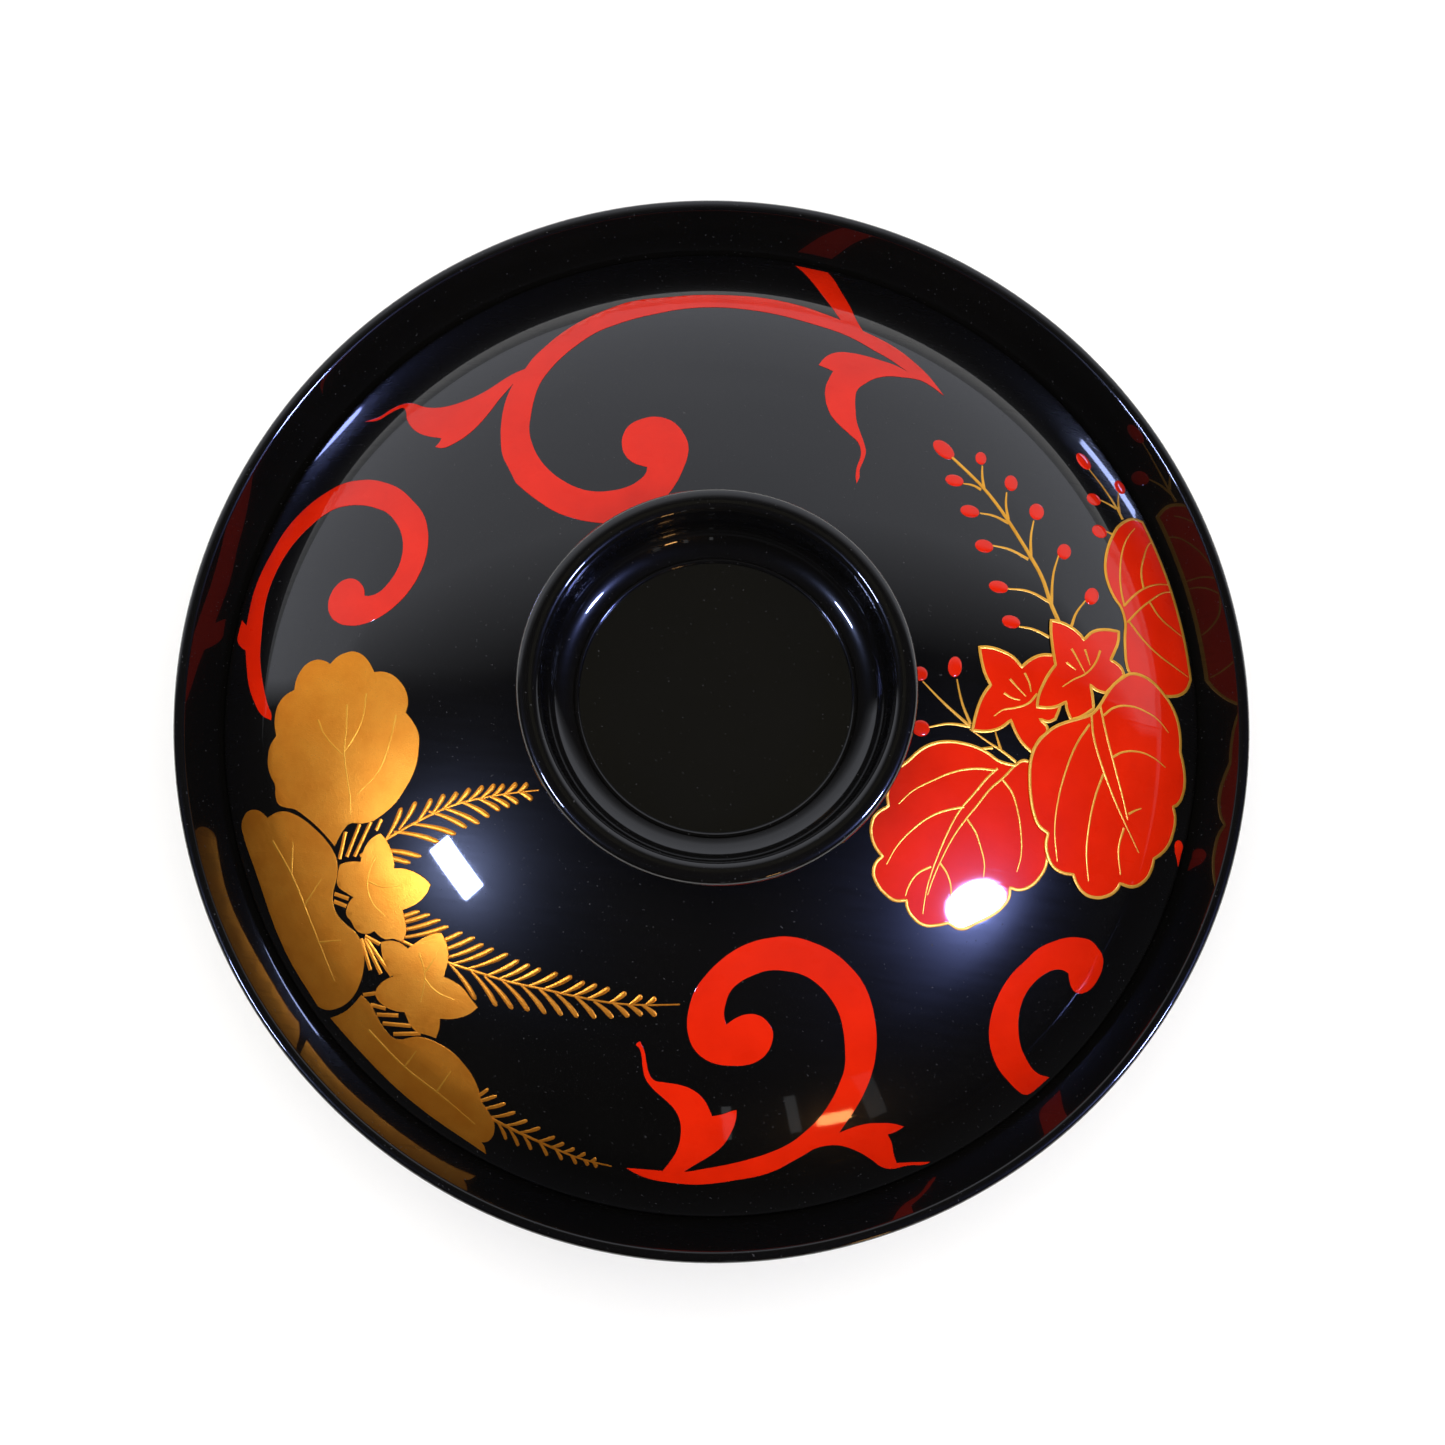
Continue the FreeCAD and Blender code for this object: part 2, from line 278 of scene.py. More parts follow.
TOP_SCROLL = [
    (24.2, 43.8, 1), (22, 46.4), (20, 48.1), (18, 49.5), (15.8, 50.6), (13.1, 51.6, 1), (12.2, 53.1),
    (11.2, 55.3), (9.9, 57.7), (8.7, 60), (7.9, 61.1, 1), (3.6, 61.5, 1), (4.7, 60.4), (6.1, 58.6),
    (7.4, 56.7), (8.7, 54.9), (10.1, 52.8, 1), (8, 53.4), (4.7, 54.2), (1.9, 54.55), (-0.9, 54.67),
    (-3.7, 54.55), (-6.4, 54.3), (-9.2, 53.9), (-12, 53.3), (-16.7, 52.2), (-19.4, 50.8), (-22.2, 49),
    (-25, 46.5), (-26.9, 44.2), (-28.1, 42.5), (-28.9, 40.8, 1), (-30, 40.2), (-31.1, 39.4),
    (-32.8, 37.9), (-34.4, 36.7), (-36.1, 35.8), (-37.8, 35.15), (-39.4, 34.86), (-41.1, 35),
    (-42.5, 35.55), (-43.3, 35.7), (-44.4, 35.5), (-45.6, 34.9), (-46.9, 33.9), (-48.9, 33.3, 1),
    (-47.2, 33.3), (-45.8, 34.2), (-44.7, 34.85), (-44, 35), (-43.5, 34.4), (-43.2, 33.3),
    (-42.5, 32.2), (-41.4, 31.25), (-40, 30.7), (-38.2, 30.4, 1), (-38.3, 29.9), (-38.8, 29.15, 1),
    (-37.8, 29), (-36.4, 29.7), (-35, 30.8), (-33.6, 32.5), (-32.5, 34.3), (-31.4, 36.4),
    (-30.1, 38.5, 1), (-30.55, 36.9), (-30.8, 35), (-30.8, 32.5), (-30.55, 30.55), (-30, 28.3),
    (-28.9, 26.4), (-27.8, 24.6, 1), (-26.1, 23.3), (-24.4, 22.2), (-22.8, 21.3), (-20.8, 20.6),
    (-17.4, 20.1), (-14.3, 20.4), (-11.3, 22), (-9.3, 24), (-8.1, 26), (-7.3, 28.5), (-7, 30.2),
    (-7.1, 31.6), (-7.7, 32.9), (-8.9, 34.3), (-10, 34.9), (-11.7, 35.1), (-13.1, 34.7),
    (-14.7, 33.6), (-15.3, 32.2), (-15.3, 30.8), (-14.7, 29.4), (-13.6, 28.5), (-11.8, 28.06, 1),
    (-11.9, 27.2), (-12.8, 26), (-14.2, 25.06), (-15.8, 24.5), (-18.06, 24.2), (-20, 24.5),
    (-21.9, 25.3), (-23.6, 26.4), (-25.3, 28.1), (-26.4, 29.9), (-27.1, 31.9), (-27.2, 34.2),
    (-27.1, 36.4), (-26.7, 38.6), (-25.8, 40.6), (-24.4, 42.8), (-22.8, 44.7), (-20.6, 46.8),
    (-18.3, 48.2), (-16.1, 49.3), (-13.3, 50.4), (-10, 51.5), (-6.4, 52.2), (-3.7, 52.4),
    (-0.9, 52.4), (1.9, 52.2), (4.7, 51.8), (7.4, 51.3), (10.2, 50.7), (12.4, 49.9), (14.7, 48.8),
    (16.9, 47.8), (18.6, 46.8), (19.4, 46.4, 1), (17.4, 47.1), (15.8, 47.4), (13.8, 47.7),
    (11.9, 47.8), (10.2, 47.6), (9.1, 47), (8.4, 46.2), (7.9, 45.2, 1), (9, 44.9), (9.8, 44.6, 1),
    (9.4, 43.5), (9.06, 42.1), (9.2, 40.4), (9.6, 39.2), (10.2, 38.1), (11.3, 37), (12.7, 35.9),
    (13.8, 35), (14.25, 34.06), (14.3, 32.9), (14, 31.6), (13.97, 30.3), (14.17, 29.3, 1),
    (14.44, 30.2), (14.4, 31.3), (14.7, 32.4), (14.94, 33.8), (14.6, 35), (14, 36.4), (13.4, 37.9),
    (13.1, 39.6), (12.94, 41), (13.1, 42.4), (14.1, 43.6), (15.2, 44.5), (16.9, 45.2),
    (18.6, 45.4), (20.2, 45.5), (21.2, 45.4), (22.4, 44.9),
]

LEFT_SCROLL = [
    (-55.1, -7.1, 1), (-56.5, -6.4), (-57.75, -4.75), (-58.9, -2.5), (-59.6, 0), (-60.1, 2.1, 1),
    (-60.75, 2.5), (-61.5, 3.5), (-61.5, 4.75), (-61.3, 6.2, 1), (-60.5, 5.4, 1), (-60.4, 8),
    (-60.1, 10.5), (-59.4, 13), (-58.6, 15), (-57.5, 17.5), (-56, 19.75), (-54.25, 21.6),
    (-52.25, 23.1), (-50, 24.25), (-48, 24.55), (-46.5, 24.55), (-44.5, 24.1), (-42.5, 23.25),
    (-40.5, 21.6), (-39, 20), (-38.1, 18), (-37.75, 16), (-37.8, 14), (-38.25, 12), (-39.25, 9.75),
    (-40.75, 7.75), (-42.5, 6.25), (-44.5, 5.25), (-46.5, 5), (-48, 5.4), (-49, 6.25),
    (-49.5, 7.5), (-49.4, 9), (-48.75, 10.25), (-47.75, 11), (-46.75, 11.1), (-45.75, 10.6),
    (-45.1, 9.75), (-44.9, 8.9, 1), (-44.25, 8.9), (-43, 9.5), (-42, 10.75), (-41.25, 12.25),
    (-40.9, 13.75), (-40.9, 15.5), (-41.4, 17.25), (-42.25, 18.6), (-43.6, 19.9), (-45.25, 20.6),
    (-47, 21), (-49, 21), (-50.5, 20.7), (-52, 19.9), (-53.5, 18.6), (-54.75, 17.25), (-56, 15.5),
    (-57, 13.5), (-57.75, 11.25), (-58.2, 8.75), (-58.25, 6.25), (-58.1, 4), (-57.9, 1.5),
    (-57.4, -0.75), (-56.5, -3.5), (-55.75, -5.25), (-55.1, -6.5),
]

BOTTOM_SCROLL = [
    (-4.1, -57.2, 1), (-2.6, -57.8), (-0.7, -58.2), (1.9, -58.3), (4.5, -58.2), (7.2, -57.7),
    (9.8, -57), (12.4, -56.2), (14.5, -55.2), (16.1, -54.1), (17.7, -52.95), (18.7, -52.2),
    (19.9, -51.7), (21.4, -51.4), (22.9, -51.5), (24.5, -51.9), (26.1, -52.55), (27.4, -53.2),
    (28.7, -53.3), (30.8, -52.6), (33.2, -52.1), (33.6, -51.8, 1), (31.6, -52.1), (29.3, -52.5, 1),
    (28.7, -51.4), (28.3, -50.3), (27.6, -49.3, 1), (28.5, -48.9), (29.5, -48.1, 1), (28, -47.95),
    (26.4, -48.1), (24.8, -48.4), (23.2, -49), (21.5, -49.9, 1), (22.4, -48.2), (23.2, -46.6),
    (24, -44.5), (24.5, -42.4), (24.66, -40.3), (24.5, -38.2), (24, -36.1), (23.2, -34),
    (21.9, -31.9), (20.05, -30.2), (17.95, -28.9), (15.6, -28.1), (12.4, -27.7), (9.8, -28.2),
    (7.7, -29), (5.8, -30.2), (4.1, -31.8), (2.7, -33.6), (1.76, -35.3), (1.3, -37.2),
    (1.24, -39.3), (1.6, -40.8), (2.4, -42.2), (3.7, -43.2), (5.3, -43.7), (7.2, -43.7),
    (9, -43.4), (10.3, -42.8), (11.4, -41.6), (11.8, -40.3), (11.7, -39), (10.8, -37.9),
    (9.8, -37.4), (8.5, -37.4), (7.2, -37.95), (6, -38.95, 1), (5.6, -37.95), (5.6, -36.6),
    (6, -35.05), (6.9, -33.9), (8.5, -32.8), (10.3, -32), (12.4, -31.8), (14.5, -32),
    (16.6, -32.95), (18.2, -34.3), (19.4, -35.8), (20.3, -37.95), (20.8, -40.05), (21.05, -42.2),
    (20.7, -44), (19.9, -46.4), (18.6, -48.7), (17.2, -50.4), (15.6, -51.9), (13.5, -53.2),
    (11.1, -54.3), (8.7, -55.2), (5.8, -56.1), (2.7, -56.9), (0.3, -57.03), (-2.05, -57.1),
]

BOTTOM_TRUMPET = [
    (0.3, -57.2, 1), (1.1, -56), (1.9, -54.3), (2.1, -52.4), (1.76, -50.8), (0.84, -49.5),
    (-0.5, -48.5), (-1.9, -47.55), (-3, -46.4), (-3.5, -45.05), (-3.76, -43.9), (-4.16, -42.95),
    (-4.6, -42.55), (-4.2, -42.1, 1), (-3.5, -43.2), (-3.1, -44.5), (-2.6, -45.8), (-1.9, -46.5),
    (-0.7, -46.6), (1.4, -46.7), (2.95, -47.1), (4.3, -47.95), (5.3, -49.26), (5.66, -49.9, 1),
    (6.9, -49.5), (7.95, -49), (8.55, -48.8, 1), (8.6, -50.05), (8.2, -51.6), (7.4, -53.2),
    (6.1, -54.5), (4.5, -55.7), (2.7, -57.1, 1),
]

RIGHT_SCROLL = [
    (47.4, -39.5, 1), (45.6, -41.5, 1), (44.6, -42.1), (43.3, -41.7), (41.9, -40.8), (40.5, -39.7),
    (39.4, -38.2), (38.7, -36.6), (38.4, -34.8), (38.5, -32.95), (38.95, -31.1), (39.6, -29.5),
    (40.5, -27.95), (41.8, -26.4), (43.3, -24.66), (45.1, -23.5), (46.9, -22.7), (48.7, -22.4),
    (50.1, -22.5), (51.2, -23.2), (51.9, -23.9), (52.2, -25), (51.9, -26.6), (51.2, -27.95),
    (50.3, -28.75), (49.2, -29), (48.4, -28.5), (48, -27.8), (47.7, -26.9, 1), (46.9, -26.66),
    (45.8, -26.8), (44.6, -27.5), (43.5, -28.6), (42.6, -30), (42.1, -31.6), (42, -33.2),
    (42.25, -34.8), (42.8, -36.4), (43.7, -37.7), (44.9, -38.9), (46, -39.4),
]

EDGE_DROP = [(60.4, -7.8), (61.2, -8), (61.2, -9.4), (61, -11, 1), (60.6, -10), (60.2, -9.2)]

FLOWER_FRONT = [
    (40.3, 15.9, 1), (41.4, 15.9), (42.8, 15.6), (44.2, 14.9), (44.8, 14.3, 1), (45.9, 15.6),
    (47.6, 16.3), (49.4, 16.5, 1), (49.4, 15.1), (48.9, 13.4), (48.6, 12.55, 1), (50.05, 11.9),
    (50.6, 11, 1), (49.4, 9.5), (48.3, 8.1, 1), (47, 8.25), (46.2, 8.7, 1), (46.6, 7.3),
    (46.9, 5.8, 1), (45.3, 4.4), (44.1, 3.8, 1), (43.4, 5.05), (43.2, 5.9, 1), (42, 5.06),
    (40.9, 4.7), (39.55, 4.55, 1), (39.6, 5.9), (40.06, 7.55), (40.7, 9.1), (41.4, 10.3, 1),
    (41.03, 11.6), (40.67, 13.1), (40.4, 14.5),
]

FLOWER_FRONT_LINES = [
    [(47.1, 13.4), (46.6, 11.7), (45.5, 10.05), (43.9, 8.9), (42.55, 7.7)],
    [(43.3, 12.8), (44.2, 11.6), (45.3, 10.1)],
    [(45.05, 13.1), (45.9, 11.2)],
    [(42.8, 10.9), (44.1, 10.2)],
]

FLOWER_BACK = [
    (31.5, 10.7, 1), (32.8, 10.9), (34.5, 10.7), (35.9, 10.2), (37.1, 9.2, 1), (38.1, 10.3),
    (39.5, 11.2), (41, 11.5, 1), (42, 10.3), (42, 8), (42.5, 5.5), (42.06, 3.5, 1), (41.2, 3),
    (40.06, 3.1, 1), (41.2, 2), (40.3, 0.6), (39.5, -1.2, 1), (38.1, -0.2), (37.1, 1.03),
    (36.4, 2.3, 1), (35.3, 1.2), (34.2, 0.6), (33.1, 0.3), (31.7, 0.2, 1), (31.9, 2), (32.3, 3.9),
    (32.8, 5.2), (33.4, 6.2, 1), (32.6, 7.4), (32, 8.9),
]

FLOWER_BACK_LINES = [
    [(39.4, 6.2), (38.4, 4.8), (36.7, 3.9), (35.3, 3.4), (34.2, 2.4)],
    [(35.75, 7.4), (36.7, 6.6), (38, 5.6)],
    [(37.55, 8.5), (38.25, 7.4), (38.6, 6.3)],
    [(35.2, 5.5), (36.2, 5.1), (37.3, 5)],
]

LEAF_UPPER = [
    (52, 33.0, 1), (50.6, 32.9), (49.45, 32.1), (48.5, 31), (47.75, 29.4), (47.2, 27.6),
    (46.95, 25.8), (47.07, 23.95), (47.6, 22.4), (48.5, 20.9), (49.45, 19.9), (49.95, 18.95, 1),
    (50.25, 17.8), (50.3, 16), (50.5, 14.2), (50.8, 12.6), (51.4, 11.45), (54, 9.6), (56.3, 9.8),
    (57.6, 10.1), (58.8, 10.7), (59.7, 11.7), (60.2, 13.2, 1), (59.3, 16.8), (58, 20.8),
    (56.4, 24.8), (54.4, 28.9),
]

LEAF_UPPER_VEINS = [
    [(49.95, 20.1), (49.3, 22.4), (49.05, 25.1), (49.3, 28.05), (50, 30.1), (50.9, 31.6)],
    [(50, 20.3), (51.3, 22.1), (52.6, 23.4), (54.5, 24.6), (56.3, 25.2)],
    [(50.5, 18.05), (51.95, 20.1), (53.5, 21.9), (55.4, 23.7), (56.6, 24.3)],
    [(52.5, 23.4), (52.07, 25.3), (52.4, 28.05), (53.1, 30.1), (53.5, 30.5)],
    [(53.5, 21.7), (55.1, 20.1), (57.2, 19.07), (58.5, 18.6)],
    [(50.8, 18.2), (53.1, 16.2), (55.4, 14.9), (58.1, 13.95), (59.8, 13.4)],
]

LEAF_MAIN = [
    (51.55, 11.4), (53.3, 11.5), (54.8, 11), (56.2, 10.05), (57.5, 8.9), (58.5, 7.4), (59.2, 5.3),
    (59.45, 3.2, 1), (60.1, 1.6), (60.5, -0.2), (60.4, -2.05), (59.8, -3.4), (59.2, -3.9, 1),
    (59.66, -5.2), (59.6, -7.05), (59.05, -8.9), (58.1, -10.2), (57.3, -10.9, 1), (57.1, -12.3),
    (56.3, -13.9), (54.8, -14.95), (53, -14.95, 1), (52.5, -15.9), (51.2, -16.9), (49.6, -17.3),
    (48.3, -17.05), (47.2, -16.1), (46.6, -15.1, 1), (45.1, -15.1), (43.8, -14.55), (43, -13.4),
    (42.6, -12.05), (42.7, -10.7, 1), (41.4, -9.95), (40.6, -8.6), (40, -6.8), (39.6, -4.7),
    (39.45, -2.8), (39.6, -1.26), (40.2, 0.3), (41.2, 1.6), (42.2, 2.55), (43.8, 3.5),
    (45.4, 4.26), (46.7, 5.05), (47.5, 6.1), (48.3, 7.7), (49.2, 9.3), (50.2, 10.4),
]

LEAF_MAIN_VEINS = [
    [(46.7, 4.9), (47.2, 2.4), (48.8, -1.26), (50.9, -4.95), (52.5, -7.3), (55.05, -10.7)],
    [(47.7, 6.4), (48.8, 3.2), (50.4, -0.74), (52.2, -4.95), (53, -7.05)],
    [(48.3, 5.2), (49.6, 6.5), (51.7, 7.2), (54.05, 7.03), (55.9, 6.4), (57.5, 5.2)],
    [(50, 0.2), (51.2, 1.1), (53.3, 1.7), (55.6, 1.5), (57.5, 0.7)],
    [(53, -6.3), (53.8, -5.7), (54.7, -5.2)],
    [(46.55, 3.7), (45.1, 0.84), (44.05, -2.84), (43.5, -6.5), (43.5, -10.2), (44.3, -13.9)],
    [(49.05, -2.05), (48.3, -4.95), (47.9, -8.6), (48, -12.3), (48.7, -15.5)],
    [(52.6, -8.1), (52.2, -10.7), (52.9, -13.9)],
]

LEAF_LOWER = [
    (24.2, -4.8), (25.4, -3.4), (26.9, -2.3), (28.8, -1.7), (30.6, -1.6), (32.5, -1.8),
    (34.05, -2.3), (35.4, -2.97), (37.5, -3.2, 1), (38.5, -2.4), (39.45, -2.4, 1), (40.2, -4.7),
    (40.8, -6.8), (41.6, -8.6), (42.7, -10.7, 1), (42.6, -12.05), (42.95, -13.4), (42.9, -14.7),
    (42.2, -16.3), (41.2, -17.45), (39.8, -18.1), (38.7, -18, 1), (38.7, -19.2), (38, -20.5),
    (36.8, -21.7), (35, -22.9, 1), (33.2, -23.9), (31.5, -23.4, 1), (30.1, -23.9), (28.5, -24.1),
    (27.1, -23.4), (26.2, -22.3), (26, -21.5, 1), (24.6, -21.7), (23.3, -21.1), (22.2, -20.1),
    (21.55, -18.8), (21.7, -17.6), (22.4, -16.7, 1), (21.4, -15.7), (20.8, -14.55), (20.6, -13.5),
    (20.9, -12), (22.4, -10.6, 1), (22.1, -9), (22.8, -6.3),
]

LEAF_LOWER_VEINS = [
    [(35.4, -3.9), (34.3, -5.2), (32.7, -7.6), (31.3, -9.7), (30.2, -12.3), (29.3, -15.2),
     (28.7, -17.6), (28.3, -19.95), (28.2, -22.8)],
    [(37.5, -3.2), (36.2, -4.95), (34.8, -6.5), (33.3, -8.9), (31.95, -11), (30.6, -13.6),
     (29.7, -16), (28.9, -18.6), (28.5, -20.5)],
    [(35.2, -4.2), (32.7, -4.4), (30.1, -5.2), (27.5, -6.7), (25.1, -8.4), (23.6, -10.2)],
    [(31.7, -9.3), (29.8, -9.95), (27.7, -11.1), (25.6, -13.1), (24.05, -15.2), (23, -17.6)],
    [(28.5, -17.05), (26.9, -18.2), (26, -19.95), (25.8, -21)],
    [(36.2, -5.2), (37.5, -6.5), (38.5, -8.6), (39.2, -11), (39.6, -13.9), (39.3, -16)],
    [(32.3, -10.7), (33.5, -12.05), (34.45, -13.9), (35.1, -15.7), (35.2, -17.3)],
    [(29.6, -16.5), (30.6, -17.6), (31.3, -19.2), (31.5, -21.5)],
]

SPRAY_STEM = [
    (41.3, 16), (40.1, 18.1), (38.7, 21.2), (36.9, 23.8), (35.3, 25.9), (33.8, 27.8), (32, 29.9),
    (30.2, 31.7), (28, 33.5), (25.75, 35.2),
]

SPRAY_TWIGS = [
    [(30.25, 31.7), (29.9, 33.4), (29.8, 34.8)],
    [(29.9, 31.4), (28.8, 31.8), (27.55, 31.8)],
    [(33.7, 28.1), (33.25, 30.05), (33.2, 31.8)],
    [(33.8, 27.6), (31.7, 28.2), (30, 28.2)],
    [(37, 23.8), (36.8, 26.4), (37, 28.7)],
    [(36.7, 23.3), (34.2, 24.1), (32, 24.2)],
    [(40.2, 17.8), (40.1, 22), (40.6, 24.7)],
    [(40.06, 18.2), (37, 19.1), (34.4, 18.9)],
    [(43, 15.6), (43.5, 17.55), (44.6, 19.5)],
    [(40.3, 13.7), (38.1, 14.3), (36.25, 14.3)],
    [(49.1, 32.3), (48.4, 33.4), (46.4, 35.9), (44.1, 38.25)],
    [(48.6, 33.1), (48.4, 34.6), (48.4, 36.2)],
    [(48.1, 33.6), (47, 33.9), (45.8, 34.1)],
    [(48, 29.6), (46.7, 29.8)],
    [(31.4, 0.9), (30.05, 3.4), (29.1, 6.2)],
    [(31.4, 0.6), (27.6, 3.1), (24.9, 5.2)],
    [(31.4, 0.6), (28.7, 0.5), (26.3, -0.3)],
    [(37.6, -2.7), (35.3, -1.5), (34.2, -1.06), (31.4, 0.3)],
    [(35.5, -1.5), (34.6, 0.5)],
    [(34.5, -1.5), (32.4, -2)],
]

# Each bud: where, its half length and half width, and the way it points in degrees.
BUDS = [
    (24.7, 36, 1.6, 1.0, -37), (29.55, 35.8, 0.9, 0.72, 90), (26.4, 32, 1.18, 0.8, 0),
    (33.7, 33.2, 1.1, 0.86, 90), (28.7, 28.2, 1.22, 0.83, 0), (37.3, 30, 1.15, 0.97, 80),
    (30.9, 23.9, 1.18, 0.87, 0), (41.3, 25.4, 1.1, 0.9, 70), (33.2, 18.9, 1.25, 0.8, 0),
    (45.4, 20.3, 1.2, 0.9, 70), (35.2, 14.7, 1.18, 0.83, 0), (43.3, 39.2, 1.3, 0.85, -50),
    (48.6, 37.1, 1.0, 0.78, 110), (44.9, 33.9, 1.0, 0.85, 0), (45.9, 29.5, 1.05, 0.9, 0),
    (28.7, 7.7, 1.3, 0.87, 90), (24.5, 6.1, 0.9, 0.9, 0), (25.3, -0.6, 1.1, 1.0, 0),
]

GOLD_LEAF_UPPER = [
    (-48.1, 0.05, 1), (-47.25, 1), (-46.25, 1.5), (-45.4, 1.7), (-44.25, 1.4), (-43.25, 0.6),
    (-42.25, -0.8, 1), (-41.25, -0.7), (-40, -1), (-38.75, -1.9), (-37.9, -3), (-37.45, -4.5),
    (-37.6, -5.6, 1), (-36.5, -6.75), (-35.6, -8.25), (-35.4, -10), (-35.4, -11.5),
    (-35.75, -13.25), (-36.5, -15), (-37.5, -16.75), (-38.75, -18.1), (-40, -19.1, 1),
    (-41.5, -19.5), (-43, -19.6), (-43.6, -20.25), (-44.25, -21.5), (-44.6, -22.4, 1),
    (-46, -21.1), (-47.5, -19.9), (-49, -18.9), (-50.5, -18.1), (-51.75, -17.9), (-52.75, -17.5),
    (-53.25, -16.5), (-53.45, -15.25), (-54.1, -14.25), (-54.7, -13), (-54.9, -11.5),
    (-54.75, -10.25), (-54.1, -9.05, 1), (-54.45, -8), (-54.6, -6.75), (-54.4, -5.25),
    (-53.6, -4), (-52.45, -3.3, 1), (-52.4, -2.25), (-52, -1), (-51.25, 0), (-50, 0.55),
    (-49, 0.45),
]

GOLD_LEAF_MIDDLE = [
    (-54.05, -19.2, 1), (-53, -18.6), (-51.75, -18.4), (-50.5, -18.7), (-49, -19.4),
    (-47.5, -20.4), (-46, -21.6), (-44.75, -23), (-44.1, -24.25), (-43.9, -25.5), (-44, -26.75),
    (-44.2, -28), (-44, -29.5), (-43.25, -30.75), (-42, -31.75), (-40.75, -32.6), (-39.9, -33.75),
    (-39.4, -35.25), (-39.3, -36.75), (-39.6, -38.5), (-40.25, -40), (-41.25, -41.1),
    (-42.5, -41.75), (-44, -41.95), (-45, -41.6, 1), (-50, -35.25), (-55, -25.75),
    (-57.25, -21.25), (-57.6, -20.25), (-57.5, -19.25), (-56.9, -18.4), (-56, -18.2), (-55, -18.5),
]

GOLD_LEAF_LOWER = [
    (-39.3, -39.9, 1), (-37.9, -41.1), (-36.8, -42.7), (-35.6, -44.05), (-34.6, -44.75),
    (-33.5, -44.8, 1), (-32.7, -44.55), (-31.55, -44.3), (-30.2, -44.5), (-28.8, -44.9),
    (-27.1, -45.7), (-25.4, -47.1), (-24.05, -48.6), (-23.2, -50.2), (-22.9, -51.1),
    (-21.8, -52.4), (-21.1, -53.4), (-20.9, -54.3), (-21.1, -55.3), (-21.7, -55.9),
    (-22.4, -56.05, 1), (-21.97, -56.6), (-21.7, -57.4, 1), (-32.1, -51.8), (-40.4, -45.4),
    (-43.2, -42.9, 1), (-41.8, -42.3), (-40.7, -41.55),
]

GOLD_LEAF_VEINS = [
    [(-38.75, -6), (-39.25, -10), (-40.25, -13.25), (-42.5, -16)],
    [(-42.9, -3.5), (-43, -6.75), (-44, -9.5), (-44.75, -10.75)],
    [(-48.75, -7), (-47.5, -9), (-45, -11.2)],
    [(-45.2, -5), (-44.9, -8), (-44.75, -11), (-44, -14), (-43.25, -16.75), (-43, -18.5)],
    [(-53, -22), (-50, -26), (-46.6, -32), (-43, -38.5)],
    [(-50, -26), (-50.2, -22)],
    [(-47.8, -29.6), (-45.9, -26.4)],
    [(-45.6, -34), (-42.6, -33.6)],
    [(-38, -44), (-33, -48), (-28, -51), (-23.4, -54)],
    [(-33, -48), (-31.6, -46)],
    [(-28.6, -50.6), (-27, -48)],
]

GOLD_FLOWER_UPPER = [
    (-38.9, -20.5, 1), (-38, -21.4), (-37.25, -22.6), (-36.75, -24), (-36.7, -24.6, 1),
    (-35.5, -24.55), (-34, -24.9), (-32.75, -25.5), (-31.9, -26.2, 1), (-32.25, -27.25),
    (-33.25, -28.5), (-34.5, -29.25), (-35.05, -29.5, 1), (-34.6, -30.75), (-34.3, -32),
    (-34.6, -33.25, 1), (-35.75, -33), (-37, -33.1), (-38.4, -32.25, 1), (-39, -32.6),
    (-40, -32.6), (-40.75, -32.25), (-41.5, -31.25), (-42.2, -30.5), (-42.2, -29.75),
    (-41.9, -28.9), (-41.5, -28.4, 1), (-42.5, -27.9), (-43.7, -27.1), (-43.85, -26),
    (-43.7, -24.6, 1), (-43, -24.3), (-42, -24.1), (-41.05, -24.1, 1), (-40.9, -23),
    (-40.4, -21.75), (-39.6, -20.9),
]

GOLD_FLOWER_LOWER = [
    (-33.9, -34, 1), (-33, -33.25), (-31.75, -32.4), (-30.5, -31.9), (-29.9, -31.8, 1),
    (-29.25, -32.75), (-28.8, -34), (-28.7, -35.25), (-28.9, -36.25), (-29, -37, 1),
    (-27.75, -37.4), (-26.5, -38.1), (-25.4, -39.25), (-24.4, -40.2, 1), (-25.25, -41),
    (-26.5, -41.6), (-27.75, -41.9), (-29, -41.95, 1), (-28.95, -43), (-29.25, -44.3, 1),
    (-30.5, -44), (-31.75, -43.75), (-32.6, -43.1), (-33.25, -42.1), (-33.55, -41.55, 1),
    (-34.75, -41.5), (-36.25, -41), (-37.4, -40), (-37.5, -39.5), (-37.1, -38.6),
    (-36.4, -37.95), (-35.4, -37.45, 1), (-36.25, -36.6), (-36.9, -35.5), (-37.25, -34.4),
    (-37.4, -33.5, 1), (-36.25, -33.25), (-35, -33.4),
]

GOLD_FLOWER_LINES = [
    [(-39.2, -23.4), (-39.9, -26), (-39.2, -28.6), (-37.2, -30.4)],
    [(-39.7, -26.4), (-38, -26.9), (-35.6, -26.6)],
    [(-32.4, -34.4), (-31.4, -37), (-31.6, -40.2)],
    [(-31.4, -37.4), (-29.8, -38.8), (-27.4, -39.6)],
    [(-31.4, -36.6), (-30.5, -35), (-30, -33.4)],
]

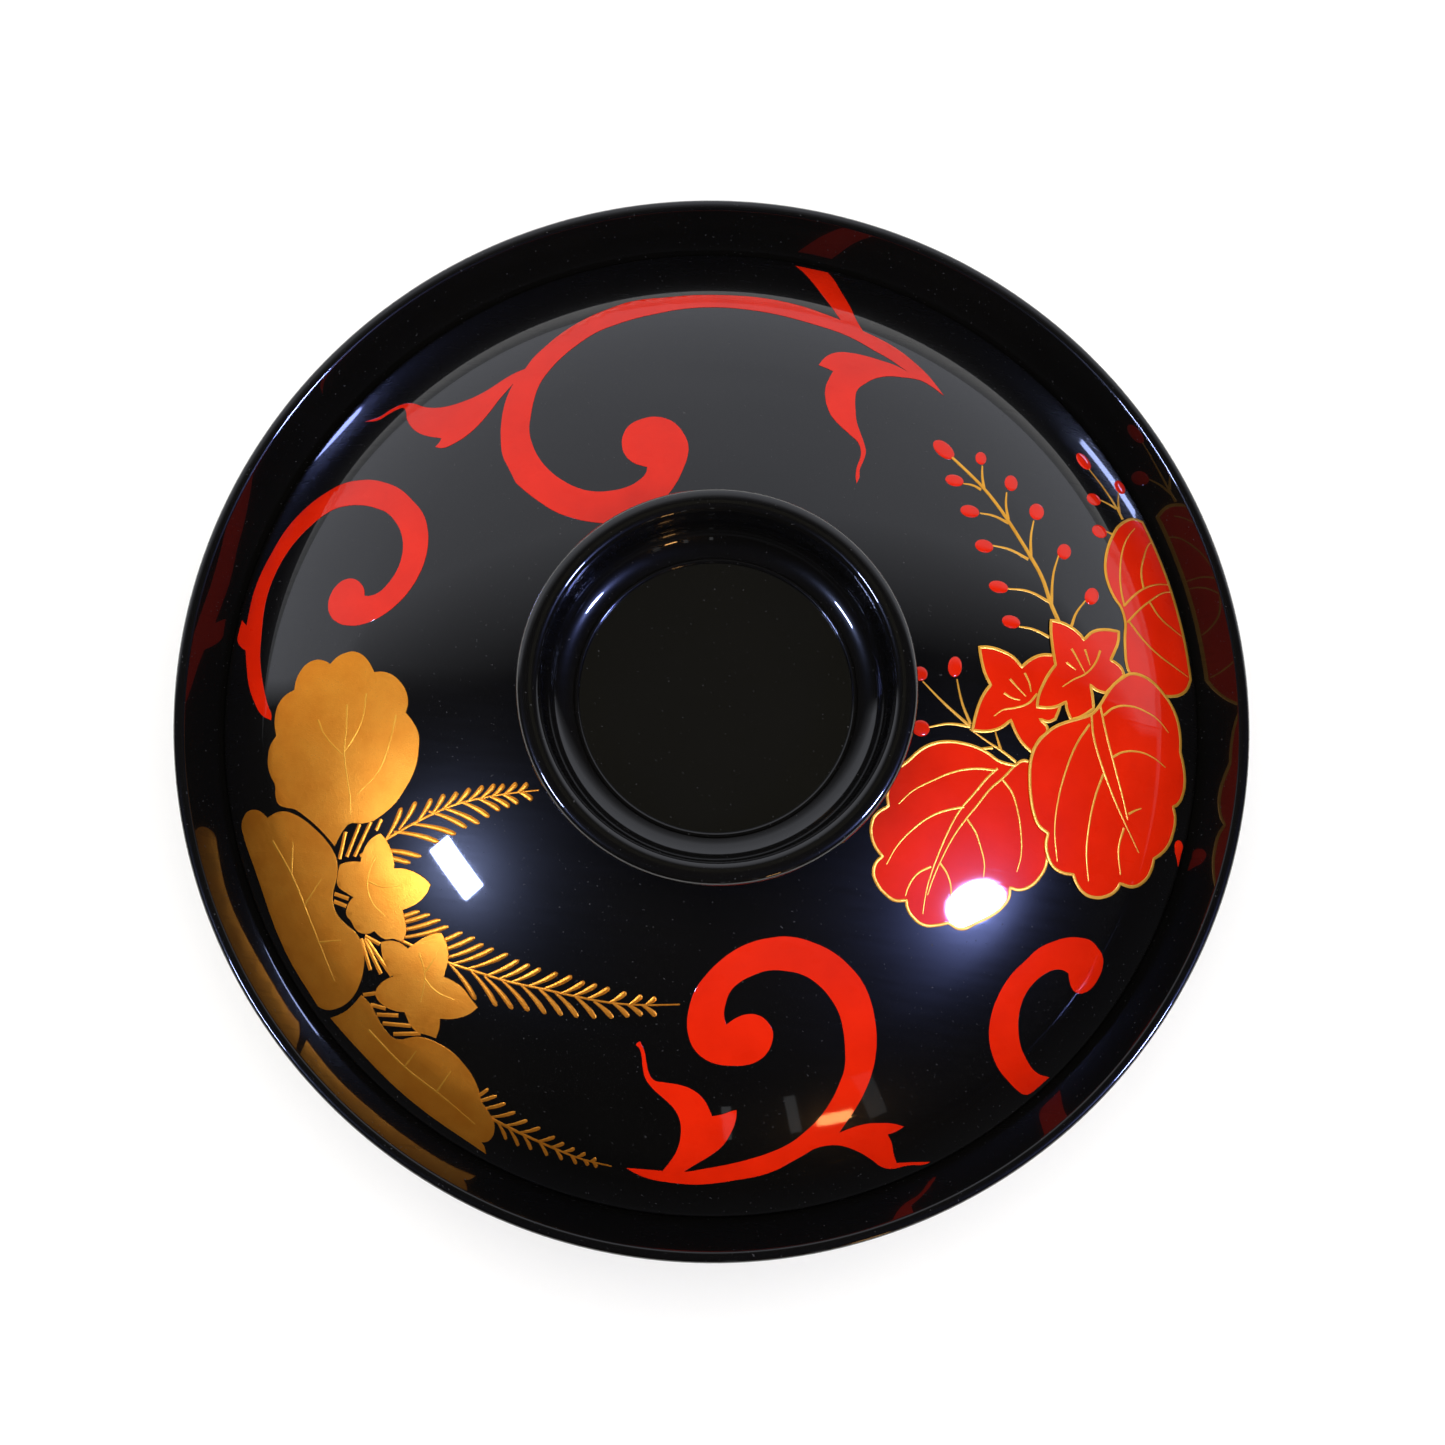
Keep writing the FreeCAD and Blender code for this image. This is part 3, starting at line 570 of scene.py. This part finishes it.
# Short gold strokes that fill the gaps between the gold leaves and flowers.
GAP_STROKES = [
    [(-43.4, -20.6), (-43.8, -23.9)], [(-41.7, -19.6), (-42.9, -23.6)],
    [(-40.3, -19.2), (-41.9, -23.5)], [(-39, -18.8), (-39.5, -20.2)],
    [(-44, -28.1), (-42.1, -28.6)], [(-44, -29), (-42.3, -29.5)],
    [(-40, -33.25), (-38.4, -36.9)], [(-39.6, -33.25), (-37, -37.25)],
    [(-39.3, -33.25), (-35.6, -37.4)], [(-39.5, -32.9), (-37.5, -33.75)],
    [(-39.1, -39.9), (-37.5, -39.6)], [(-38, -41), (-36, -41.3)],
    [(-37.1, -42.1), (-34.3, -42)], [(-36.25, -43.1), (-32.6, -43.1)],
    [(-34.75, -44.25), (-31.25, -43.9)],
]

# Each fern: its stem, the tips of its upper leaflets, the tips of its lower ones, their half width.
FERNS = [
    ([(-41.2, -23.4), (-38, -21.1), (-34, -18.5), (-30, -16.4), (-26.5, -15.25), (-23, -14.4),
      (-20, -13.8)],
     [(-36.6, -17.25), (-34.9, -16.4), (-33, -15.9), (-31.5, -15.25), (-29.9, -14.9),
      (-28.4, -14.3), (-26.8, -13.9), (-25.4, -13.6), (-24.25, -13.5), (-22.75, -13.2),
      (-21.4, -13.1)],
     [(-34.75, -23.75), (-33.5, -22.9), (-31.5, -21), (-29.5, -19.9), (-28.25, -19),
      (-26.75, -18.4), (-25.6, -17.5), (-24.4, -16.6), (-23.25, -16.1), (-22.25, -15.6),
      (-20.6, -15)], 0.32),
    ([(-40.5, -31.1), (-34, -33.4), (-28.8, -35.2), (-24.9, -36.05), (-21, -36.8), (-16.8, -37.25),
      (-12.7, -37.7), (-8.5, -38), (-5.2, -37.9), (-1.55, -37.5), (0.1, -37.25)],
     [(-32.9, -29.5), (-31.55, -29.75), (-30.2, -30.3), (-29.1, -31), (-27.3, -31.55),
      (-25.7, -32), (-24.55, -32.7), (-23.2, -33.1), (-21.4, -33.55), (-20, -34.2),
      (-18.6, -34.55), (-17.2, -34.9), (-15.1, -35.2), (-13.3, -35.4), (-11.7, -35.9),
      (-10.2, -36.05), (-8.6, -36.3), (-6.55, -36.6), (-4.6, -36.75), (-2.9, -36.8)],
     [(-24.75, -39.3), (-22.1, -39.8), (-20.1, -39.95), (-18.1, -40), (-16, -40.1), (-14, -40.1),
      (-12.05, -40.1), (-9.9, -40), (-7.8, -39.75), (-5.9, -39.4), (-4.3, -39.05),
      (-2.6, -38.9)], 0.3),
    ([(-25.2, -51.7), (-21.2, -53.2), (-18.2, -54.3), (-15.4, -55.2), (-12.7, -56), (-9.9, -56.7),
      (-5.9, -57.2)],
     [(-22.1, -49.7), (-21, -50.4), (-19.8, -51.2), (-18.5, -52.1), (-16.9, -52.9),
      (-15.2, -53.6), (-13.3, -54.5), (-12.05, -55.1), (-10.7, -55.6), (-9.3, -56), (-7.9, -56.5)],
     [(-19.3, -55.4), (-17.7, -56), (-16.05, -56.3), (-14, -56.8), (-12.1, -57.1), (-10.3, -57.4),
      (-8.8, -57.4), (-7.7, -57.5)], 0.22),
]


# Points along a leaflet, as shares of its length, of its bow and of its half width.
LEAFLET = [(0.0, 0.0, 0.45), (0.35, 1.0, 0.75), (0.72, 0.8, 1.05), (0.93, 0.0, 0.95), (1.0, 0.0, 0.45)]
LEAN = 1.4
BOW = 0.03


def root_on(stem, tip):
    """Where a leaflet leaves its stem: back from the stem point nearest to its tip."""
    nearest, reach = None, None
    for (ax, ay), (bx, by) in zip(stem, stem[1:]):
        run = Vector((bx - ax, by - ay))
        along = max(0.0, min(1.0, (Vector(tip) - Vector((ax, ay))).dot(run) / run.length_squared))
        at = Vector((ax, ay)) + run * along
        away = (Vector(tip) - at).length
        if reach is None or away < reach:
            nearest, reach, forward = at, away, run.normalized()
    back = nearest - forward * reach * LEAN
    first = Vector(stem[0])
    return back if (back - first).dot(forward) > 0 else first


def leaflets(stem, tips, half):
    """Club-ended leaflets that lean forward off the stem."""
    strokes = []
    for tip in tips:
        root = root_on(stem, tip)
        run = Vector(tip) - root
        side = Vector((-run.y, run.x)) * (BOW if run.y > 0 else -BOW)
        places = [(root + run * reach - side * bow, half * width) for reach, bow, width in LEAFLET]
        strokes.append([(at.x, at.y, thick, False) for at, thick in places])
    return strokes


# ---------------------------------------------------------------- finishes

class Shade:
    """A number that varies over the surface; sums and products of these become Math nodes."""

    def __init__(self, finish, socket):
        self.finish = finish
        self.socket = socket

    def combined(self, operation, a, b):
        return self.finish.node("ShaderNodeMath", {"operation": operation}, {0: a, 1: b})

    def __add__(self, other):
        return self.combined("ADD", self, other)

    def __sub__(self, other):
        return self.combined("SUBTRACT", self, other)

    def __rsub__(self, other):
        return self.combined("SUBTRACT", other, self)

    def __mul__(self, other):
        return self.combined("MULTIPLY", self, other)


X, Y, Z = 0, 1, 2


class Finish:
    """A procedural material under one gloss shader."""

    def __init__(self, name, **constants):
        self.material = bpy.data.materials.new(name)
        self.material.use_nodes = True
        self.tree = self.material.node_tree
        self.gloss = self.tree.nodes["Principled BSDF"]
        for socket, value in constants.items():
            self.gloss.inputs[socket.replace("_", " ")].default_value = value
        self.place = self.node("ShaderNodeTexCoord", {}, {}, "Object")

    def node(self, kind, settings, inputs, output=0):
        """Adds a node: settings first, then the values or links of its sockets."""
        made = self.tree.nodes.new(kind)
        for name, value in settings.items():
            setattr(made, name, value)
        for socket, value in inputs.items():
            if isinstance(value, Shade):
                self.tree.links.new(value.socket, made.inputs[socket])
            else:
                made.inputs[socket].default_value = value
        return Shade(self, made.outputs[output])

    def noise(self, scale, detail=2.0, rough=0.5):
        """Cloudy variation; a larger scale makes it finer."""
        return self.node("ShaderNodeTexNoise", {}, {"Vector": self.place, "Scale": scale,
                                                    "Detail": detail, "Roughness": rough})

    def stretched(self, ratios, scale):
        """Noise drawn out along an axis, as a wiping cloth or a grain leaves it."""
        drawn_out = self.node("ShaderNodeMapping", {}, {"Vector": self.place, "Scale": ratios})
        return self.node("ShaderNodeTexNoise", {}, {"Vector": drawn_out, "Scale": scale, "Detail": 2.0})

    def between(self, value, low, high):
        """0 below low, 1 above high, and even between."""
        return self.node("ShaderNodeMapRange", {}, {0: value, 1: low, 2: high, 3: 0.0, 4: 1.0})

    def part(self, place, axis):
        """How far a place or direction goes along one axis."""
        return self.node("ShaderNodeSeparateXYZ", {}, {0: place}, axis)

    def mix(self, amount, first, second):
        """A colour between two colours."""
        return self.node("ShaderNodeMix", {"data_type": "RGBA"}, {0: amount, 6: first, 7: second}, 2)

    def feed(self, **values):
        """Lets varying values drive the sockets they are named after."""
        for socket, value in values.items():
            self.tree.links.new(value.socket, self.gloss.inputs[socket.replace("_", " ")])

    def bump(self, value, strength, distance):
        """Raises the surface a little where the value is high."""
        raised = self.node("ShaderNodeBump", {}, {"Height": value, "Strength": strength,
                                                  "Distance": distance})
        self.feed(Normal=raised)


def black_lacquer():
    """Polished black lacquer: nearly a mirror, with faint wiping marks, pinpricks and a worn foot."""
    f = Finish("polished_black_lacquer", Specular_IOR_Level=0.1, Coat_Roughness=0.032, Coat_IOR=1.5)
    soot, warm_black = (0.0014, 0.0014, 0.0014, 1), (0.0034, 0.003, 0.0026, 1)
    dust, bare_ground = (0.06, 0.06, 0.065, 1), (0.045, 0.027, 0.018, 1)
    cloud = f.noise(scale=38.0, detail=3.0)
    wiped = f.stretched(ratios=(1.0, 9.0, 1.0), scale=140.0)
    pricks = f.between(f.noise(scale=2600.0, detail=1.0), low=0.74, high=0.8)
    foot_edge = 1.0 - f.between(f.part(f.place, Z), low=0.0002, high=0.0016)
    worn = foot_edge * f.between(f.noise(scale=420.0, detail=3.0), low=0.42, high=0.62)
    dusty = f.mix(pricks * 0.5, f.mix(cloud, soot, warm_black), dust)
    f.feed(Base_Color=f.mix(worn * 0.8, dusty, bare_ground))
    streaks = f.between(wiped, low=0.3, high=0.75) * 0.035
    f.feed(Roughness=streaks + 0.25 + pricks * 0.2 + worn * 0.3)
    f.feed(Coat_Weight=1.0 - worn * 0.7 - pricks * 0.5)
    f.bump(cloud, strength=0.03, distance=0.0002)
    return f.material


def vermilion_lacquer():
    """Bright vermilion lacquer, brushed on a little unevenly."""
    f = Finish("brushed_vermilion_lacquer", Specular_IOR_Level=0.03, Coat_Weight=0.7,
               Coat_Roughness=0.045)
    red, bright_red, dark_red = (0.49, 0.010, 0.0006, 1), (0.57, 0.013, 0.001, 1), (0.36, 0.006, 0.002, 1)
    pooled = f.noise(scale=160.0, detail=3.0)
    brushed = f.stretched(ratios=(1.0, 1.7, 1.0), scale=240.0)
    uneven = f.mix(f.between(pooled, low=0.3, high=0.7), red, bright_red)
    deep = f.between(f.noise(scale=900.0), low=0.6, high=0.85)
    f.feed(Base_Color=f.mix(deep * 0.15, uneven, dark_red))
    f.feed(Roughness=f.between(brushed, low=0.25, high=0.75) * 0.04 + 0.26)
    f.bump(pooled, strength=0.05, distance=0.0001)
    return f.material


def gold_powder(name, pale, deep, thin, shine, haze):
    """Gold powder sprinkled on wet lacquer: fine grains, worn thin in places.

    Shine is how much of it gleams as metal, and haze how dull the gleam is.
    """
    f = Finish(name, IOR=1.45)
    cloud = f.noise(scale=210.0, detail=4.0, rough=0.6)
    grains = f.noise(scale=5200.0, rough=0.7)
    gold = f.mix(f.between(cloud, low=0.34, high=0.66), deep, pale)
    bare = f.between(grains, low=0.6, high=0.78) * f.between(cloud, low=0.4, high=0.7)
    f.feed(Base_Color=f.mix(bare * 0.8, gold, thin))
    f.feed(Metallic=shine - bare * 0.3)
    f.feed(Roughness=f.between(grains, low=0.3, high=0.7) * 0.14 + haze)
    f.bump(grains, strength=0.35, distance=0.00006)
    return f.material


def turned_wood():
    """Sanded keyaki core, with its rings and fine pores."""
    f = Finish("turned_keyaki_wood", IOR=1.45)
    late_wood, early_wood, pore = (0.42, 0.24, 0.11, 1), (0.55, 0.35, 0.18, 1), (0.2, 0.1, 0.05, 1)
    rings = f.node("ShaderNodeTexWave", {"wave_type": "RINGS"}, {"Vector": f.place, "Scale": 60.0,
                                                                "Distortion": 3.0, "Detail": 2.0})
    pores = f.stretched(ratios=(1.0, 12.0, 1.0), scale=900.0)
    wood = f.mix(rings, late_wood, early_wood)
    f.feed(Base_Color=f.mix(f.between(pores, low=0.6, high=0.75) * 0.5, wood, pore))
    f.feed(Roughness=pores * 0.2 + 0.5)
    f.bump(pores, strength=0.2, distance=0.0001)
    return f.material


# ---------------------------------------------------------------- making the bowl and lid

BLACK = black_lacquer()
VERMILION = vermilion_lacquer()
GOLD_LINE = gold_powder("gold_line_powder", pale=(0.86, 0.43, 0.05, 1), deep=(0.72, 0.32, 0.025, 1),
                        thin=(0.4, 0.13, 0.02, 1), shine=0.72, haze=0.3)
GOLD_LEAF = gold_powder("gold_leaf_powder", pale=(0.97, 0.345, 0.026, 1), deep=(0.89, 0.28, 0.017, 1),
                        thin=(0.34, 0.10, 0.01, 1), shine=0.9, haze=0.31)
# The vein gold is mixed paler than the leaf gold: a painted sheen for the light that the raised veins
# catch.
GOLD_VEIN_SHEEN = gold_powder("gold_vein_powder", pale=(0.97, 0.44, 0.04, 1), deep=(0.90, 0.36, 0.025, 1),
                        thin=(0.4, 0.15, 0.03, 1), shine=0.85, haze=0.33)
WOOD = turned_wood()

# Edges that turn by more degrees than these stay sharp.
TURNED_CREASE = 50
FILM_CREASE = 14
LINE_CREASE = 60

bowl = piece("bowl_black_lacquer", bowl_form(), "bowl", BLACK, TURNED_CREASE)
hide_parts("bowl_lacquer")
lid = piece("lid_black_lacquer", lid_form(), "lid", BLACK, TURNED_CREASE)
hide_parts("lid_lacquer")
for core in ("bowl_core", "lid_core"):
    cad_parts[core].data.materials.clear()
    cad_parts[core].data.materials.append(WOOD)

# Heights of the films above the dome, lowest first; each covers the lines of the one under it.
LOW, MIDDLE, HIGH, HIGHEST = 0.05, 0.13, 0.21, 0.29
TRUMPET_TOP = LOW + 0.005
GOLD_LOW, GOLD_HIGH = 0.1, 0.15
STEM_HEIGHT = 0.02
STROKE_HEIGHT = 0.03

# Half widths of the gold lines, and half the thickness of a bud.
EDGE_HALF = 0.19
VEIN_HALF = 0.15
SPRAY_HALF = 0.27
TWIG_HALF = 0.2
LEAF_VEIN_HALF = 0.13
FLOWER_VEIN_HALF = 0.12
FERN_STEM_HALF = 0.17
STROKE_HALF = 0.234
BUD_HALF = 0.16


def films(name, outlines, finish):
    """One piece of flat films, each an outline with the height of its face."""
    bm = bmesh.new()
    for outline, top in outlines:
        film(bm, outline, top)
    piece(name, bm, "lid", finish, FILM_CREASE)


films("vermilion_scrolls", [(TOP_SCROLL, LOW), (LEFT_SCROLL, LOW), (BOTTOM_SCROLL, LOW),
                            (BOTTOM_TRUMPET, TRUMPET_TOP), (RIGHT_SCROLL, LOW), (EDGE_DROP, LOW)],
      VERMILION)
films("vermilion_leaves", [(LEAF_UPPER, LOW), (LEAF_LOWER, LOW), (LEAF_MAIN, HIGHEST)],
      VERMILION)
films("vermilion_flowers", [(FLOWER_BACK, MIDDLE), (FLOWER_FRONT, HIGH)],
      VERMILION)
films("gold_leaves", [(GOLD_LEAF_MIDDLE, GOLD_LOW), (GOLD_LEAF_LOWER, GOLD_LOW),
                      (GOLD_LEAF_UPPER, GOLD_LOW)],
      GOLD_LEAF)
films("gold_flowers", [(GOLD_FLOWER_UPPER, GOLD_HIGH), (GOLD_FLOWER_LOWER, GOLD_HIGH)],
      GOLD_LEAF)

outlines = bmesh.new()
for outline, height in ((LEAF_UPPER, LOW), (LEAF_LOWER, LOW), (FLOWER_BACK, MIDDLE),
                        (FLOWER_FRONT, HIGH), (LEAF_MAIN, HIGHEST)):
    edging(outlines, outline, EDGE_HALF, height)
piece("gold_outlines", outlines, "lid", GOLD_LINE, LINE_CREASE)

veins = bmesh.new()
for lines, height in ((LEAF_UPPER_VEINS, LOW), (LEAF_LOWER_VEINS, LOW), (FLOWER_BACK_LINES, MIDDLE),
                      (FLOWER_FRONT_LINES, HIGH), (LEAF_MAIN_VEINS, HIGHEST)):
    thread(veins, [drawn(points, VEIN_HALF) for points in lines], height)
piece("gold_veins", veins, "lid", GOLD_LINE, LINE_CREASE)

stems = bmesh.new()
thread(stems, [drawn(SPRAY_STEM, SPRAY_HALF, end=0.7)], STEM_HEIGHT)
thread(stems, [drawn(points, TWIG_HALF) for points in SPRAY_TWIGS], STEM_HEIGHT)
piece("gold_stems", stems, "lid", GOLD_LINE, LINE_CREASE)

buds = bmesh.new()
for x, y, half_length, half_width, way in BUDS:
    place = Matrix.Translation((x, y, 0)) @ Matrix.Rotation(math.radians(way), 4, "Z")
    size = Matrix.Diagonal((half_length, half_width, BUD_HALF, 1))
    bmesh.ops.create_uvsphere(buds, u_segments=20, v_segments=10, radius=1, matrix=place @ size)
drape(buds, lift=0.0)
piece("vermilion_buds", buds, "lid", VERMILION, LINE_CREASE)

engraving = bmesh.new()
thread(engraving, [drawn(points, LEAF_VEIN_HALF) for points in GOLD_LEAF_VEINS], GOLD_LOW)
thread(engraving, [drawn(points, FLOWER_VEIN_HALF) for points in GOLD_FLOWER_LINES], GOLD_HIGH)
piece("gold_leaf_veins", engraving, "lid", GOLD_VEIN_SHEEN, LINE_CREASE)

ferns = bmesh.new()
for stem, upper, lower, half in FERNS:
    thread(ferns, [drawn(stem, FERN_STEM_HALF, start=1.2, end=0.5)], STEM_HEIGHT)
    thread(ferns, leaflets(stem, chain(upper, lower), half), STEM_HEIGHT)
thread(ferns, [drawn(points, STROKE_HALF, end=1.0) for points in GAP_STROKES], STROKE_HEIGHT)
piece("gold_ferns", ferns, "lid", GOLD_LEAF, LINE_CREASE)


# ---------------------------------------------------------------- table, light and camera

def pale_table():
    """A plain pale table, faintly uneven."""
    f = Finish("pale_table", Specular_IOR_Level=0.2)
    f.feed(Base_Color=f.mix(f.noise(scale=6.0), (0.93, 0.93, 0.93, 1), (0.96, 0.96, 0.96, 1)))
    f.feed(Roughness=f.noise(scale=30.0) * 0.1 + 0.8)
    return f.material


def pale_ceiling():
    """A dim glow on the ceiling behind the table, paler toward the far wall and dark elsewhere."""
    dark, cool_white = (0, 0, 0, 1), (0.87, 0.90, 1.0, 1)
    f = Finish("pale_ceiling", Base_Color=dark, Specular_IOR_Level=0.0, Emission_Strength=1.13)
    away = f.node("ShaderNodeVectorMath", {"operation": "LENGTH"}, {0: f.place}, 1)
    outward = f.node("ShaderNodeVectorMath", {"operation": "NORMALIZE"}, {0: f.place})
    slanting = f.part(f.place, Y) - f.part(f.place, X) * 0.2
    behind = f.between(slanting, low=0.3, high=0.85) * f.between(f.part(outward, Y), low=0.06, high=0.16)
    glow = f.between(away, low=1.2, high=7.0) * 0.7 + 0.72 + f.noise(scale=0.9) * 0.2
    f.feed(Emission_Color=f.mix(behind * glow, dark, cool_white))
    return f.material


ROOM_RADIUS = 9.0
ROOM_STEPS = 96
CEILING_HEIGHT = 1.1


def stage_disc(name, height, finish, wall=0.0):
    """A round table top or ceiling; a wall can hang from its edge."""
    bm = bmesh.new()
    bmesh.ops.create_circle(bm, cap_ends=True, radius=ROOM_RADIUS, segments=ROOM_STEPS,
                            matrix=Matrix.Translation((0, 0, height)))
    if wall:
        around = bmesh.ops.extrude_edge_only(bm, edges=bm.edges[:])["geom"]
        lower = [corner for corner in around if isinstance(corner, bmesh.types.BMVert)]
        bmesh.ops.translate(bm, verts=lower, vec=(0, 0, -wall))
    mesh = bpy.data.meshes.new(name)
    bm.to_mesh(mesh)
    bm.free()
    mesh.materials.append(finish)
    disc = bpy.data.objects.new(name, mesh)
    bpy.context.scene.collection.objects.link(disc)
    return disc


stage_disc("table_top", 0.0, pale_table())
ceiling = stage_disc("ceiling", CEILING_HEIGHT, pale_ceiling(), wall=CEILING_HEIGHT)
ceiling.visible_camera = False
ceiling.visible_diffuse = False
ceiling.visible_shadow = False

world = bpy.data.worlds.new("soft_room")
bpy.context.scene.world = world
world.use_nodes = True
world.node_tree.nodes["Background"].inputs["Color"].default_value = (0.93, 0.96, 1.0, 1)
world.node_tree.nodes["Background"].inputs["Strength"].default_value = 0.42
world.cycles_visibility.glossy = False


def panel(name, at, toward, size, brightness, colour, turn=0.0, shape="RECTANGLE", mirrored=True):
    """A flat light facing a point: either the lacquer mirrors it, or it only lights the surfaces."""
    light = bpy.data.lights.new(name, "AREA")
    light.shape = shape
    light.size, light.size_y = size
    light.color = colour
    light.energy = brightness * math.pi * size[0] * size[1]
    holder = bpy.data.objects.new(name, light)
    bpy.context.scene.collection.objects.link(holder)
    facing = (Vector(toward) - Vector(at)).to_track_quat("-Z", "Y").to_matrix().to_4x4()
    spun = Matrix.Rotation(math.radians(turn), 4, "Z")
    holder.matrix_world = Matrix.Translation(at) @ facing @ spun
    holder.visible_glossy = mirrored
    holder.visible_diffuse = not mirrored


def glint(name, mark, azimuth, elevation, away, **look):
    """A light that the lacquer mirrors, in a direction in degrees from the mark it faces."""
    a, e = math.radians(azimuth), math.radians(elevation)
    ray = Vector((math.cos(e) * math.cos(a), math.cos(e) * math.sin(a), math.sin(e)))
    panel(name, Vector(mark) + ray * away, mark, **look)


# The points that the lights face: two spots on the dome, the ring's floor and the ring's middle.
ON_LEFT = (-0.029, -0.024, 0.077)
ON_RIGHT = (0.0345, -0.0215, 0.076)
ON_FLOOR = (0, 0, 0.082)
IN_RING = (0, 0, 0.085)

LAMP_AWAY = 1.2
WINDOW_AWAY = 2.0
GLOW_AWAY = 0.95

DAYLIGHT = (1.0, 0.97, 0.93)
COOL = (0.93, 0.97, 1.0)
LAMP_BLUE = (0.32, 0.40, 1.0)
LAMP_PALE = (0.44, 0.54, 1.0)
YELLOW = (1.0, 0.95, 0.6)
ORANGE = (1.0, 0.5, 0.16)

panel("overhead", at=(0.0, -0.1, 1.3), toward=(0.0, 0.0, 0.06), size=(1.4, 1.4), brightness=4.15,
      colour=DAYLIGHT, mirrored=False)
glint("left_lamp", ON_LEFT, azimuth=-151.5, elevation=48.6, away=LAMP_AWAY,
      size=(0.19, 0.078), brightness=240.0, colour=LAMP_PALE, turn=14.0)
glint("right_lamp", ON_RIGHT, azimuth=-19.3, elevation=44.1, away=LAMP_AWAY,
      size=(0.2, 0.13), brightness=270.0, colour=LAMP_BLUE, turn=-45.0, shape="ELLIPSE")
glint("left_window", ON_RIGHT, azimuth=-81.0, elevation=24.0, away=WINDOW_AWAY,
      size=(0.05, 0.4), brightness=0.7, colour=COOL)
glint("near_window", ON_RIGHT, azimuth=-70.0, elevation=25.0, away=WINDOW_AWAY,
      size=(0.06, 0.5), brightness=0.5, colour=COOL)
glint("far_window", ON_RIGHT, azimuth=-57.0, elevation=23.0, away=WINDOW_AWAY,
      size=(0.1, 0.6), brightness=0.3, colour=COOL)
glint("zenith_glow", ON_FLOOR, azimuth=90.0, elevation=80.8, away=GLOW_AWAY,
      size=(0.14, 0.14), brightness=0.08, colour=YELLOW)
glint("warm_lamp", IN_RING, azimuth=-63.0, elevation=18.0, away=LAMP_AWAY,
      size=(0.1, 0.07), brightness=26.0, colour=ORANGE)

# The camera looks down on the bowl, a little from the front and a little askew.
tilt = math.radians(9.24)
distance = 0.450
eye = Vector((0.0, -distance * math.sin(tilt), RIM_HEIGHT * MM + distance * math.cos(tilt)))
aim = Vector((0.00122, -0.00036, RIM_HEIGHT * MM))
forward = (aim - eye).normalized()
level = forward.cross(Vector((0, 1, 0))).normalized()
upward = level.cross(forward)
roll = math.radians(6.80)
right = level * math.cos(roll) + upward * math.sin(roll)
up = upward * math.cos(roll) - level * math.sin(roll)
lens = bpy.data.cameras.new("camera")
lens.sensor_width = 36.0
lens.lens = 88.82
lens.clip_start = 0.01
camera = bpy.data.objects.new("camera", lens)
bpy.context.scene.collection.objects.link(camera)
camera.matrix_world = Matrix.Translation(eye) @ Matrix((right, up, -forward)).transposed().to_4x4()
bpy.context.scene.camera = camera
bpy.context.scene.view_settings.view_transform = "Standard"
